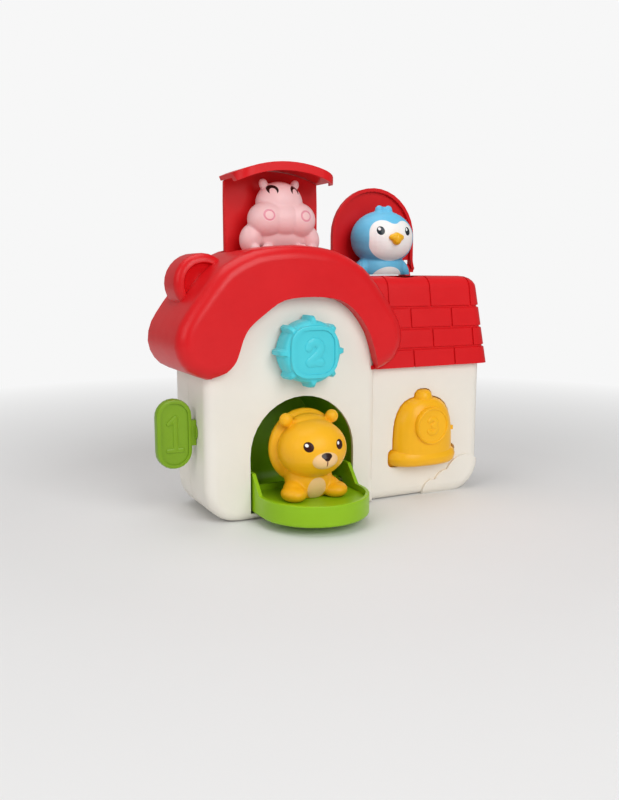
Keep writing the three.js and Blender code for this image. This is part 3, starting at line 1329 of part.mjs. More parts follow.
function lidLever() {
  const hub = bossRadius * 0.9;
  const thin = leverThickness * 1.3;
  const outline = roundedOutline([
    [leverPadY, bellPlungerZ - bellPlungerRadius, thin / 2],
    [leverPadY + thin, bellPlungerZ - bellPlungerRadius, thin / 2],
    [leverY + hub, leverZ - hub, hub / 2],
    [leverY + hub * 0.9, leverZ + hub, hub / 2],
    [leverNoseY + thin / 2, leverNoseZ - thin * 3, thin],
    [leverNoseY + thin / 2, leverNoseZ, 0],
    [leverNoseY - thin / 2, leverNoseZ, 0],
    [leverNoseY - thin / 2, leverNoseZ - thin * 3, thin],
    [leverY - hub, leverZ + hub * 0.4, hub / 2],
  ], 3);
  const x0 = leverX - leverThickness / 2;
  const x1 = leverX + leverThickness / 2;
  const arm = loftX(outline, [[x0, 0], [x1, 0]]);
  const nose = box(lidCatchX - lidCatchWidth / 4, x1, leverNoseY - thin / 2, leverNoseY + thin / 2,
    leverNoseZ - thin, leverNoseZ);
  const bore = cylinderX(leverY, leverZ, lidPinRadius + fitGap, x0 - overrun, x1 + overrun, smallSides);
  return arm.add(nose).subtract(bore);
}

function leverPin() {
  const reach = leverThickness * 2.6;
  return cylinderX(leverY, leverZ, lidPinRadius, leverX - reach, leverX + reach, smallSides);
}

// Torsion spring that returns the lever and, through its plunger, the bell
function leverSpring() {
  const wireRadius = fitGap;
  const radius = lidPinRadius + wireRadius * 3;
  const start = leverPostXs[1] + leverThickness * 0.4 + fitGap + wireRadius;
  const coil = coilPoints(radius, wireRadius * 8, 3);
  const legs = [coil[0].clone().add(new THREE.Vector3(0, -bossRadius, 0)), ...coil,
    coil.at(-1).clone().add(new THREE.Vector3(0, bossRadius, 0))];
  return wire(legs, wireRadius).rotate([0, 90, 0]).translate([start, leverY, leverZ]);
}

addPiece('front_shell', frontShell(), 'white');
addPiece('rear_shell', rearShell(), 'white');
screwPlaces.forEach(([x, z], k) => addPiece(`housing_screw_${k + 1}`, housingScrew(x, z), 'steel'));
addPiece('arch_roof', archRoof(), 'red');
addPiece('brick_roof', brickRoof(), 'red');
addPiece('door_alcove', doorAlcove(), 'green');
addPiece('door_shell', doorShell(), 'green');
addPiece('tray_floor', trayFloor(), 'green');
addPiece('door_pin_left', doorPin(-1), 'steel');
addPiece('door_pin_right', doorPin(1), 'steel');
addPiece('door_spring', doorSpring(), 'steel');
addPiece('lion_figure', lionFigure(), 'lion');
addPiece('lion_screw', lionScrew(), 'steel');
addPiece('lift_shaft', liftShaft(), 'inner');
addPiece('lift_back', liftBack(), 'red');
addPiece('lift_platform', liftPlatform(), 'red');
addPiece('lift_cap', liftCap(), 'red');
addPiece('lift_spring', liftSpring(), 'steel');
addPiece('hippo_figure', hippoFigure(), 'hippo');
addPiece('penguin_lid', penguinLid(), 'red');
addPiece('penguin_figure', penguinFigure(), 'penguin');
addPiece('lid_rod', lidRod(), 'steel');
addPiece('lid_spring', lidSpring(), 'steel');
addPiece('key', key(), 'keyGreen');
addPiece('key_cam', keyCam(), 'inner');
addPiece('hippo_latch', hippoLatch(), 'inner');
addPiece('dial', dial(), 'blue');
addPiece('dial_cam', dialCam(), 'inner');
addPiece('dial_screw', dialScrew(), 'steel');
addPiece('door_latch', doorLatch(), 'inner');
addPiece('bell_button', bellButton(), 'yellow');
addPiece('lid_latch', lidLever(), 'inner');
addPiece('lid_latch_pin', leverPin(), 'steel');
addPiece('lid_latch_spring', leverSpring(), 'steel');

export default house;
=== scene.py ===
"""Looks of a toy house with three pop-up animals: finishes, soft moulded skins, figures, marks and stage."""

from __future__ import annotations

import json
import logging
import math
from collections.abc import Callable, Iterable, Sequence
from dataclasses import dataclass, field
from enum import Enum

import bmesh
import bpy
from mathutils import Euler, Matrix, Vector

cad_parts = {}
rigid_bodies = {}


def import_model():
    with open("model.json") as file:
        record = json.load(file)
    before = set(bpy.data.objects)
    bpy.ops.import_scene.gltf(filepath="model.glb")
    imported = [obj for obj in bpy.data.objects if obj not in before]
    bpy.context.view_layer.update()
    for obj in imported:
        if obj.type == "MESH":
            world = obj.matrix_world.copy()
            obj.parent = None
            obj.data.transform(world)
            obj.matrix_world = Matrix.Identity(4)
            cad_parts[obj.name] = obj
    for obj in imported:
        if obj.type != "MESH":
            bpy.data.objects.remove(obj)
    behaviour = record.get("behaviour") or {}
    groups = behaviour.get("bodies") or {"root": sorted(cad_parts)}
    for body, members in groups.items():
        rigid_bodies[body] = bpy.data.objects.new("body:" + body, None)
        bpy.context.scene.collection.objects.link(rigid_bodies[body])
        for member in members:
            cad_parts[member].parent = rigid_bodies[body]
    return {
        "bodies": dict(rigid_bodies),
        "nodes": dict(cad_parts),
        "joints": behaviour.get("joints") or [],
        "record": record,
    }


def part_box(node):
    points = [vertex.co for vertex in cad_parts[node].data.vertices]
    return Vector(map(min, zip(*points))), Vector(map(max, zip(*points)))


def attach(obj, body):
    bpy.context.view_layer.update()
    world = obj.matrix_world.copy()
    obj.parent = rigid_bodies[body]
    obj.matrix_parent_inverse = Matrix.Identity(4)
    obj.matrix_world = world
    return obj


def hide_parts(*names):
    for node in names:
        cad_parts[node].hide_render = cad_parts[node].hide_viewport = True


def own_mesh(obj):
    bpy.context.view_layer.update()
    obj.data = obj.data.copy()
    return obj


LOG = logging.getLogger("toy_house")
MM = 0.001
FRONT_TO_ORIGIN = 35.0  # The house's front face stands this far before the frame's origin, in mm
BUMP_STRENGTH = 0.55
SHINE = 0.3  # Level of the plastic's own reflection
PAPER = (0.93, 0.93, 0.93, 1.0)  # White of the background

Triple = tuple[float, float, float]
Pair = tuple[float, float]


def spot(x: float, y: float, z: float) -> Vector:
    """Turns a point in mm, measured back from the house's front face, into the frame's metres.

    Args:
        x: Millimetres to the right.
        y: Millimetres back from the front face.
        z: Millimetres up.

    Returns:
        The same point in the frame.
    """
    return Vector((x, y - FRONT_TO_ORIGIN, z)) * MM


def linear(code: str) -> tuple[float, float, float, float]:
    """Turns a hex colour into linear red, green, blue and alpha.

    Args:
        code: Six hex digits.

    Returns:
        The colour as a shader socket takes it.
    """
    parts = [int(code[k:k + 2], 16) / 255 for k in (0, 2, 4)]
    curve = [c / 12.92 if c <= 0.04045 else ((c + 0.055) / 1.055) ** 2.4 for c in parts]
    return (curve[0], curve[1], curve[2], 1.0)


# Shader graph


class Amount:
    """A number socket of a graph that takes Python's arithmetic."""

    def __init__(self, graph: Graph, socket: bpy.types.NodeSocket) -> None:
        """Keeps the socket and the graph that it belongs to."""
        self.graph = graph
        self.socket = socket

    def __add__(self, other: Number) -> Amount:
        """The sum."""
        return self.graph.maths("ADD", self, other)

    __radd__ = __add__

    def __sub__(self, other: Number) -> Amount:
        """The difference."""
        return self.graph.maths("SUBTRACT", self, other)

    def __rsub__(self, other: Number) -> Amount:
        """The difference the other way round."""
        return self.graph.maths("SUBTRACT", other, self)

    def __mul__(self, other: Number) -> Amount:
        """The product."""
        return self.graph.maths("MULTIPLY", self, other)

    __rmul__ = __mul__

    def __truediv__(self, other: Number) -> Amount:
        """The quotient."""
        return self.graph.maths("DIVIDE", self, other)

    def __rtruediv__(self, other: Number) -> Amount:
        """The quotient the other way round."""
        return self.graph.maths("DIVIDE", other, self)

    def __pow__(self, other: Number) -> Amount:
        """The power."""
        return self.graph.maths("POWER", self, other)

    def __neg__(self) -> Amount:
        """The opposite."""
        return self.graph.maths("MULTIPLY", self, -1.0)

    def __abs__(self) -> Amount:
        """The size without its sign."""
        return self.graph.maths("ABSOLUTE", self)

    def root(self) -> Amount:
        """The square root."""
        return self.graph.maths("SQRT", self)

    def lesser(self, other: Number) -> Amount:
        """The smaller of two."""
        return self.graph.maths("MINIMUM", self, other)

    def greater(self, other: Number) -> Amount:
        """The larger of two."""
        return self.graph.maths("MAXIMUM", self, other)

    def inside(self, softness: float) -> Amount:
        """A mask that is 1 where this distance is below 0.

        Args:
            softness: Width of the border in the distance's own unit.

        Returns:
            The mask.
        """
        return self.graph.maths("MULTIPLY_ADD", self, -1 / softness, 0.5, clamp=True)


Number = Amount | float


class Graph:
    """The node graph of one material, on coordinates in mm from the house's front face."""

    def __init__(self, name: str) -> None:
        """Starts an empty material of that name."""
        self.material = bpy.data.materials.new(name)
        self.material.use_nodes = True
        self.tree = self.material.node_tree
        self.tree.nodes.clear()
        self.place = self.node("ShaderNodeTexCoord").outputs["Object"]

    def node(self, kind: str, settings: dict | None = None, sockets: dict | None = None) -> bpy.types.Node:
        """Adds one node.

        Args:
            kind: The node's type.
            settings: Properties to set before the sockets.
            sockets: Values or links by socket name or number.

        Returns:
            The node.
        """
        node = self.tree.nodes.new(kind)
        for name, value in (settings or {}).items():
            setattr(node, name, value)
        for name, value in (sockets or {}).items():
            socket = node.inputs[name]
            source = value.socket if isinstance(value, Amount) else value
            if isinstance(source, bpy.types.NodeSocket):
                self.tree.links.new(source, socket)
            else:
                socket.default_value = source
        return node

    def maths(self, operation: str, *values: Number, clamp: bool = False) -> Amount:
        """Adds a Math node.

        Args:
            operation: The node's operation.
            values: Its inputs in order.
            clamp: Keeps the result from 0 to 1.

        Returns:
            The result.
        """
        settings = {"operation": operation, "use_clamp": clamp}
        node = self.node("ShaderNodeMath", settings, dict(enumerate(values)))
        return Amount(self, node.outputs[0])

    def along(self) -> tuple[Amount, Amount, Amount]:
        """The place of the shaded point in mm: across, back from the front face, and up."""
        parts = self.node("ShaderNodeSeparateXYZ", sockets={0: self.place}).outputs
        across, back, up = (Amount(self, part) / MM for part in parts)
        return across, back + FRONT_TO_ORIGIN, up

    def noise(self, size: float, detail: float = 2.0, stretch: Triple = (1.0, 1.0, 1.0)) -> Amount:
        """A smooth noise about 0.

        Args:
            size: Size of its patches in mm.
            detail: Octaves.
            stretch: How often it repeats along each axis.

        Returns:
            The noise, about -0.5 to 0.5.
        """
        spread = {"Vector": self.place, "Scale": stretch}
        mapped = self.node("ShaderNodeMapping", {"vector_type": "POINT"}, spread)
        sockets = {"Vector": mapped.outputs[0], "Scale": 1 / (size * MM), "Detail": detail, "Roughness": 0.55}
        node = self.node("ShaderNodeTexNoise", {"noise_dimensions": "3D"}, sockets)
        return Amount(self, node.outputs[0]) - 0.5

    def blend(self, mask: Number, first: Colour, second: Colour) -> bpy.types.NodeSocket:
        """Mixes two colours.

        Args:
            mask: 0 gives the first, 1 the second.
            first: A colour or a link.
            second: A colour or a link.

        Returns:
            The mixed colour.
        """
        sockets = {0: mask, 6: first, 7: second}
        return self.node("ShaderNodeMix", {"data_type": "RGBA", "clamp_factor": True}, sockets).outputs[2]

    def oval(self, x: Number, z: Number, centre: Pair, half: Pair) -> Amount:
        """Distance in mm from an upright oval's edge, below 0 inside it.

        Args:
            x: Place across.
            z: Place up.
            centre: The oval's centre.
            half: Its half sizes.

        Returns:
            The distance, exact for a circle.
        """
        across = (x - centre[0]) / half[0]
        up = (z - centre[1]) / half[1]
        return ((across * across + up * up).root() - 1.0) * min(half)


Colour = bpy.types.NodeSocket | tuple[float, float, float, float]


# Finishes


@dataclass(frozen=True)
class Oval:
    """An oval on the front of a figure: centre across and up, and half sizes, in mm."""

    centre: Pair
    half: Pair


@dataclass(frozen=True)
class Mark:
    """A painted mark, the union of some ovals less others.

    Attributes:
        colour: Hex colour of the paint.
        ovals: What it covers.
        less: What is left out of it.
        melt: How far neighbouring ovals run together, in mm.
        rough: Roughness of the paint.
        before: The mark lies only in front of this place, in mm behind the front face.
        both: The same mark on both sides of the middle line.
    """

    colour: str
    ovals: tuple[Oval, ...]
    less: tuple[Oval, ...] = ()
    melt: float = 0.4
    rough: float = 0.25
    before: float = 0.0
    both: bool = False

    def mask(self, graph: Graph, x: Amount, y: Amount, z: Amount) -> Amount:
        """Where the mark lies.

        Args:
            graph: The material's graph.
            x: Millimetres across from the figure's middle.
            y: Millimetres back from the front face.
            z: Millimetres up.

        Returns:
            1 on the mark, 0 beside it.
        """
        side = abs(x) if self.both else x
        reach = self.union(graph, side, z, self.ovals)
        if self.less:
            reach = reach.greater(-self.union(graph, side, z, self.less))
        return reach.inside(0.22) * (y - self.before).inside(0.5)

    def union(self, graph: Graph, x: Amount, z: Amount, ovals: Sequence[Oval]) -> Amount:
        """Distance from the nearest of some ovals, run together where they meet."""
        near = [graph.oval(x, z, oval.centre, oval.half) for oval in ovals]
        reach = near[0]
        for other in near[1:]:
            reach = graph.maths("SMOOTH_MIN", reach, other, self.melt)
        return reach


@dataclass(frozen=True)
class Dimple:
    """A ring pressed into the surface on both sides of the middle line."""

    centre: Pair
    radius: float
    depth: float
    before: float


@dataclass(frozen=True)
class Finish:
    """A moulded plastic and the traces that its mould and handling leave.

    Attributes:
        name: Name of the material.
        slot: The record's material slot.
        colour: Hex colour.
        rough: Roughness.
        coat: Weight of the gloss over it.
        mottle: How much its brightness wanders.
        grain: Height of the mould's grain in mm.
        glow: Weight of light spread below its surface.
        metal: 1 for a metal.
    """

    name: str
    slot: str
    colour: str
    rough: float = 0.34
    coat: float = 0.05
    mottle: float = 0.03
    grain: float = 0.006
    glow: float = 0.0
    metal: float = 0.0

    def body_colour(self, graph: Graph) -> bpy.types.NodeSocket:
        """The plastic's own colour with slow changes of tone."""
        base = linear(self.colour)
        deep = tuple(c * (1 - 2.4 * self.mottle) for c in base[:3]) + (1.0,)
        pale = tuple(min(1.0, c * (1 + 1.2 * self.mottle) + self.mottle * 0.12) for c in base[:3]) + (1.0,)
        tone = graph.noise(38, 2.0) * 1.3 + graph.noise(6, 3.0) * 0.45 + 0.5
        return graph.blend(tone, deep, pale)

    def gloss(self, graph: Graph) -> Amount:
        """Roughness with faint handling smears."""
        smear = graph.noise(14, 2.0, (1.0, 1.0, 2.4)) * 0.12
        return (smear + self.rough).greater(0.08)

    def relief(self, graph: Graph) -> Amount:
        """Height of the surface in mm, the mould's orange peel and grain."""
        return graph.noise(2.2, 2.0) * self.grain + graph.noise(14, 1.0) * (self.grain * 5)

    def build(self) -> bpy.types.Material:
        """Makes the material.

        Returns:
            The material, built once and then reused.
        """
        ready = bpy.data.materials.get(self.name)
        if ready:
            return ready
        graph = Graph(self.name)
        colour, rough = self.dress(graph, self.body_colour(graph), self.gloss(graph))
        height = {"Strength": BUMP_STRENGTH, "Distance": MM, "Height": self.relief(graph)}
        bump = graph.node("ShaderNodeBump", None, height)
        sockets = {"Base Color": colour, "Roughness": rough, "Metallic": self.metal, "Coat Weight": self.coat,
                   "Coat Roughness": 0.12, "IOR": 1.5, "Specular IOR Level": SHINE, "Normal": bump.outputs[0]}
        if self.glow:
            sockets |= {"Subsurface Weight": self.glow, "Subsurface Scale": 0.004,
                        "Subsurface Radius": (1.0, 0.6, 0.4)}
        shader = graph.node("ShaderNodeBsdfPrincipled", None, sockets)
        graph.node("ShaderNodeOutputMaterial", None, {"Surface": shader.outputs[0]})
        return graph.material

    def dress(self, graph: Graph, colour: Colour, rough: Amount) -> tuple[Colour, Amount]:
        """Lays nothing over the plastic; a painted finish does."""
        return colour, rough


@dataclass(frozen=True)
class FigureFinish(Finish):
    """A vinyl animal with a painted face.

    Attributes:
        middle: The figure's middle line across, in mm.
        marks: Paint, in the order in which it is laid; the white glints on the eyes are painted highlights
            and the pink nostril rings painted shade.
        dimples: Rings pressed into the face.
    """

    middle: float = 0.0
    marks: tuple[Mark, ...] = ()
    dimples: tuple[Dimple, ...] = ()

    def dress(self, graph: Graph, colour: Colour, rough: Amount) -> tuple[Colour, Amount]:
        """Lays the paint, the painted highlights and the painted shade over the vinyl.

        Args:
            graph: The material's graph.
            colour: The vinyl's colour.
            rough: The vinyl's roughness.

        Returns:
            Colour and roughness with the paint on.
        """
        x, y, z = graph.along()
        for mark in self.marks:
            mask = mark.mask(graph, x - self.middle, y, z)
            colour = graph.blend(mask, colour, linear(mark.colour))
            rough = rough + mask * (mark.rough - self.rough)
        return colour, rough

    def relief(self, graph: Graph) -> Amount:
        """The vinyl's grain with the pressed rings."""
        height = super().relief(graph)
        x, y, z = graph.along()
        for dimple in self.dimples:
            edge = graph.oval(abs(x - self.middle), z, dimple.centre, (dimple.radius, dimple.radius))
            front = (y - dimple.before).inside(1.0)
            groove = (abs(edge) * (1 / 0.75)).lesser(1.0)
            hollow = edge.inside(1.4)
            height = height - ((1 - groove) * 0.6 + hollow * 0.4) * front * dimple.depth
        return height


WHITE = Finish("white_shell_plastic", "white_plastic", "f2ede3", rough=0.38, coat=0.04, mottle=0.015)
RED = Finish("red_roof_plastic", "red_plastic", "dc1018", rough=0.34, mottle=0.03)
GREEN = Finish("green_door_plastic", "green_plastic", "93c40f", rough=0.34)
KEY_GREEN = Finish("green_key_plastic", "key_green", "7da617", rough=0.36)
BLUE = Finish("blue_dial_plastic", "dial_blue", "4fd4e2", rough=0.33)
BELL_YELLOW = Finish("yellow_bell_plastic", "bell_yellow", "fcb90f", rough=0.35)
INNER = Finish("grey_inner_plastic", "inner_plastic", "c9c7c0", rough=0.5, coat=0.0, mottle=0.05)
SCREW = Finish("plated_screw_steel", "screw_steel", "b9bcc2", rough=0.3, coat=0.0, mottle=0.08, metal=1.0)
SPRING = Finish("bright_spring_steel", "spring_steel", "a7aab0", rough=0.25, coat=0.0, mottle=0.1, metal=1.0)
BEAK = Finish("orange_beak_paint", "penguin_blue", "f2b513", rough=0.38)
LION = FigureFinish(
    "yellow_lion_vinyl", "lion_yellow", "ffb913", rough=0.42, coat=0.03, glow=0.06, middle=-41.0,
    marks=(
        Mark("f9cd92", (Oval((0.0, 42.3), (8.6, 5.6)),), before=-24.0, rough=0.4),
        Mark("f9cd92", (Oval((0.0, 22.0), (6.4, 7.4)),), before=-12.0, rough=0.4),
        Mark("2c1512", (Oval((0.0, 45.6), (3.6, 1.9)), Oval((0.0, 44.3), (2.0, 1.8))),
             melt=1.0, before=-26.0),
        Mark("6b2f1c", (Oval((0.0, 41.0), (0.4, 2.2)),), before=-26.0),
        Mark("3a1410", (Oval((10.6, 51.4), (2.9, 3.1)),), before=-18.0, both=True),
        # Painted highlights: a small white glint on each eye, up and to the left of its middle.
        Mark("ffffff", (Oval((-11.6, 52.4), (1.0, 1.0)), Oval((9.6, 52.4), (0.9, 1.0))),
             melt=0.01, before=-18.0),
    ),
)
HIPPO = FigureFinish(
    "pink_hippo_vinyl", "hippo_pink", "f9cccd", rough=0.44, coat=0.03, glow=0.08, middle=-41.0,
    marks=(
        Mark("241512", (Oval((7.8, 209.0), (3.5, 3.2)),), less=(Oval((7.8, 207.2), (2.2, 2.9)),),
             before=33.0, both=True),
        # Painted shade: a darker pink ring laid over the pressed nostril rings, where their grooves fall into
        # shade.
        Mark("ee9fae", (Oval((13.0, 192.6), (3.9, 3.7)),), less=(Oval((13.0, 192.6), (2.7, 2.5)),),
             before=33.0, both=True),
    ),
    dimples=(Dimple((13.0, 192.6), 3.4, 1.1, 33.0),),
)
PENGUIN = FigureFinish(
    "blue_penguin_vinyl", "penguin_blue", "6cc3ea", rough=0.42, coat=0.04, glow=0.05, middle=44.5,
    marks=(
        Mark("f8f6f4", (Oval((-8.4, 182.7), (9.3, 9.6)), Oval((8.4, 182.7), (9.3, 9.6)),
                        Oval((0.0, 177.2), (17.6, 12.6))), melt=2.2, before=43.0, rough=0.4),
        Mark("f8f6f4", (Oval((0.0, 152.6), (12.2, 7.8)),), before=42.0, rough=0.4),
        Mark("13232b", (Oval((10.9, 185.0), (2.6, 3.0)),), before=40.0, both=True),
        # Painted highlights: a small white glint on each eye, up and to the left of its middle.
        Mark("ffffff", (Oval((-11.7, 186.2), (0.95, 1.0)), Oval((10.1, 186.2), (0.85, 1.0))),
             melt=0.01, before=40.0),
    ),
)


# Mesh work


def link(name: str, mesh: bpy.types.Mesh) -> bpy.types.Object:
    """Puts a mesh into the scene as an object of its own name."""
    mesh.name = name
    piece = bpy.data.objects.new(name, mesh)
    bpy.context.scene.collection.objects.link(piece)
    return piece


def baked(piece: bpy.types.Object) -> bpy.types.Object:
    """Turns an object's modifiers into plain mesh.

    Args:
        piece: The object.

    Returns:
        The same object with its modifiers taken off.
    """
    graph = bpy.context.evaluated_depsgraph_get()
    graph.update()
    final = piece.evaluated_get(graph)
    mesh = bpy.data.meshes.new_from_object(final, preserve_all_data_layers=True, depsgraph=graph)
    piece.modifiers.clear()
    old = piece.data
    piece.data = mesh
    mesh.name = piece.name
    if isinstance(old, bpy.types.Mesh):
        bpy.data.meshes.remove(old)
    return piece


def edit(mesh: bpy.types.Mesh, change: Callable[[bmesh.types.BMesh], None]) -> None:
    """Runs one change on a mesh."""
    work = bmesh.new()
    work.from_mesh(mesh)
    change(work)
    work.to_mesh(mesh)
    work.free()
    mesh.update()


def clean(work: bmesh.types.BMesh) -> None:
    """Merges doubles and turns every face outwards."""
    bmesh.ops.remove_doubles(work, verts=work.verts, dist=1e-6)
    bmesh.ops.recalc_face_normals(work, faces=work.faces)


def settle(piece: bpy.types.Object, angle: float = 38.0) -> bpy.types.Object:
    """Shades a piece smooth up to an angle, with large faces kept flat.

    Args:
        piece: The object.
        angle: Edges sharper than this many degrees stay sharp.

    Returns:
        The same object.
    """
    piece.data.shade_smooth()
    piece.data.set_sharp_from_angle(angle=math.radians(angle))
    weigh = piece.modifiers.new("weigh", "WEIGHTED_NORMAL")
    weigh.keep_sharp = True
    weigh.weight = 60
    return baked(piece)


def ball(work: bmesh.types.BMesh, centre: Vector, half: Vector, tilt: Triple = (0.0, 0.0, 0.0),
         rings: int = 20) -> None:
    """Adds one rounded mass to a mesh.

    Args:
        work: The mesh.
        centre: Its centre in the frame.
        half: Its half sizes in the frame.
        tilt: Turn about x, y and z in degrees.
        rings: Rings of faces from pole to pole.
    """
    turn = Euler([math.radians(a) for a in tilt]).to_matrix().to_4x4()
    matrix = Matrix.Translation(centre) @ turn @ Matrix.Diagonal(half).to_4x4()
    bmesh.ops.create_uvsphere(work, u_segments=rings * 2, v_segments=rings, radius=1.0, matrix=matrix)


@dataclass(frozen=True)
class Mass:
    """One rounded mass of a figure, in mm from its middle line and the house's front face.

    Attributes:
        centre: Its centre.
        half: Its half sizes.
        tilt: Turn about x, y and z in degrees.
        both: The same mass on both sides.
    """

    centre: Triple
    half: Triple
    tilt: Triple = (0.0, 0.0, 0.0)
    both: bool = False


class Trim(Enum):
    """Side of a figure that a flat cut takes off."""

    BELOW = (0.0, 0.0, -1.0)
    BEHIND = (0.0, 1.0, 0.0)


@dataclass
class Bench:
    """The loaded frame, and the way a finished piece is mounted on it.

    Attributes:
        body_of: Body of each node.
    """

    frame: dict
    body_of: dict[str, str] = field(default_factory=dict)

    def __post_init__(self) -> None:
        """Looks up each node's body."""
        for body, nodes in self.frame["record"]["behaviour"]["bodies"].items():
            self.body_of |= {node: body for node in nodes}

    def mount(self, piece: bpy.types.Object, finish: Finish, body: str,
              nodes: Iterable[str] = ()) -> bpy.types.Object:
        """Gives a piece its finish and its place on a body.

        Args:
            piece: The object.
            finish: What it is made of.
            body: The body it rides on.
            nodes: Nodes that it stands for.

        Returns:
            The same object.
        """
        piece.data.materials.clear()
        piece.data.materials.append(finish.build())
        for face in piece.data.polygons:
            face.material_index = 0
        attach(piece, body)
        if nodes:
            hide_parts(*nodes)
        LOG.info("%s: %d faces on %s", piece.name, len(piece.data.polygons), body)
        return piece

    def dress(self, node: str, finish: Finish) -> None:
        """Gives a node that stays its finish."""
        slots = self.frame["nodes"][node].data.materials
        slots.clear()
        slots.append(finish.build())
        LOG.info("%s: dressed with %s", node, finish.name)

    def skin(self, node: str, finish: Finish, round_edge: float = 0.35,
             angle: float = 38.0) -> bpy.types.Object:
        """Stands a soft moulded copy in a node's place.

        Args:
            node: The node.
            finish: What it is made of.
            round_edge: Radius of its edges in mm, 0 to leave them.
            angle: Edges sharper than this many degrees are rounded.

        Returns:
            The copy.
        """
        piece = link(f"{node}_skin", self.frame["nodes"][node].data.copy())

        def melt(work: bmesh.types.BMesh) -> None:
            """Merges the loose triangles into large flat faces."""
            bmesh.ops.remove_doubles(work, verts=work.verts, dist=2e-6)
            bmesh.ops.dissolve_limit(work, angle_limit=math.radians(0.6), verts=work.verts, edges=work.edges)

        edit(piece.data, melt)
        if round_edge:
            bevel = piece.modifiers.new("edge", "BEVEL")
            bevel.width = round_edge * MM
            bevel.segments = 2
            bevel.limit_method = "ANGLE"
            bevel.angle_limit = math.radians(angle)
            bevel.use_clamp_overlap = True
            bevel.miter_outer = "MITER_ARC"
            baked(piece)
        return self.mount(settle(piece, angle), finish, self.body_of[node], [node])


# Node trees for what repeats or follows a path


class Tree:
    """A Geometry Nodes tree with named inputs that ends in one plain mesh."""

    def __init__(self, name: str) -> None:
        """Starts an empty tree."""
        self.group = bpy.data.node_groups.new(name, "GeometryNodeTree")
        self.group.interface.new_socket("Geometry", in_out="INPUT", socket_type="NodeSocketGeometry")
        self.group.interface.new_socket("Geometry", in_out="OUTPUT", socket_type="NodeSocketGeometry")
        self.entry = self.group.nodes.new("NodeGroupInput")
        self.keys: dict[str, str] = {}

    def size(self, name: str, kind: str = "NodeSocketFloat") -> bpy.types.NodeSocket:
        """Adds a named input.

        Args:
            name: Its name.
            kind: Its socket type.

        Returns:
            The socket that gives its value.
        """
        made = self.group.interface.new_socket(name, in_out="INPUT", socket_type=kind)
        self.keys[name] = made.identifier
        return self.entry.outputs[name]

    def node(self, kind: str, settings: dict | None = None, sockets: dict | None = None) -> bpy.types.Node:
        """Adds one node with its settings and the values or links of its sockets."""
        node = self.group.nodes.new(kind)
        for name, value in (settings or {}).items():
            setattr(node, name, value)
        for name, value in (sockets or {}).items():
            if isinstance(value, bpy.types.NodeSocket):
                self.group.links.new(value, node.inputs[name])
            else:
                node.inputs[name].default_value = value
        return node

    def sweep(self, path: bpy.types.Node, profile: bpy.types.Node) -> None:
        """Sweeps a profile along a path, closes its ends and ends the tree with it.

        Args:
            path: Node that gives the path.
            profile: Node that gives the profile.
        """
        sockets = {"Curve": path.outputs[0], "Profile Curve": profile.outputs[0], "Fill Caps": True}
        self.close(self.node("GeometryNodeCurveToMesh", None, sockets).outputs[0])

    def close(self, shape: bpy.types.NodeSocket) -> None:
        """Realizes the shape, sets its material and hands it out."""
        finish = self.size("Finish", "NodeSocketMaterial")
        real = self.node("GeometryNodeRealizeInstances", None, {"Geometry": shape})
        sockets = {"Geometry": real.outputs[0], "Material": finish}
        dressed = self.node("GeometryNodeSetMaterial", None, sockets)
        self.node("NodeGroupOutput", None, {"Geometry": dressed.outputs[0]})

    def run(self, name: str, base: bpy.types.Mesh, values: dict) -> bpy.types.Object:
        """Runs the tree on a base mesh.

        Args:
            name: Name of the piece.
            base: The mesh that it starts from.
            values: Value of each named input.

        Returns:
            The piece as plain mesh.
        """
        piece = link(name, base)
        modifier = piece.modifiers.new("grow", "NODES")
        modifier.node_group = self.group
        for key, value in values.items():
            modifier[self.keys[key]] = value
        return baked(piece)


def coil_tree() -> Tree:
    """A wire wound into a coil along z, from the origin up.

    Returns:
        The tree, with Radius, Length, Turns and Wire as inputs.
    """
    tree = Tree("wound_coil")
    radius, length = tree.size("Radius"), tree.size("Length")
    turns, wire = tree.size("Turns"), tree.size("Wire")
    spiral = tree.node("GeometryNodeCurveSpiral", None, {"Resolution": 20, "Rotations": turns,
                                                          "Start Radius": radius, "End Radius": radius,
                                                          "Height": length})
    profile = tree.node("GeometryNodeCurvePrimitiveCircle", None, {"Resolution": 8, "Radius": wire})
    tree.sweep(spiral, profile)
    return tree


def rim_tree() -> Tree:
    """A rounded bead that follows the edges of the base mesh.

    Returns:
        The tree, with Bead and Finish as inputs.
    """
    tree = Tree("bead_on_path")
    bead = tree.size("Bead")
    path = tree.node("GeometryNodeMeshToCurve", None, {"Mesh": tree.entry.outputs["Geometry"]})
    profile = tree.node("GeometryNodeCurvePrimitiveCircle", None, {"Resolution": 12, "Radius": bead})
    tree.sweep(path, profile)
    return tree


def path_mesh(points: Sequence[Vector], closed: bool) -> bpy.types.Mesh:
    """A mesh of one chain of edges.

    Args:
        points: The chain's points.
        closed: Joins its ends.

    Returns:
        The mesh.
    """
    mesh = bpy.data.meshes.new("path")
    count = len(points)
    edges = [(k, (k + 1) % count) for k in range(count if closed else count - 1)]
    mesh.from_pydata([tuple(p) for p in points], edges, [])
    return mesh


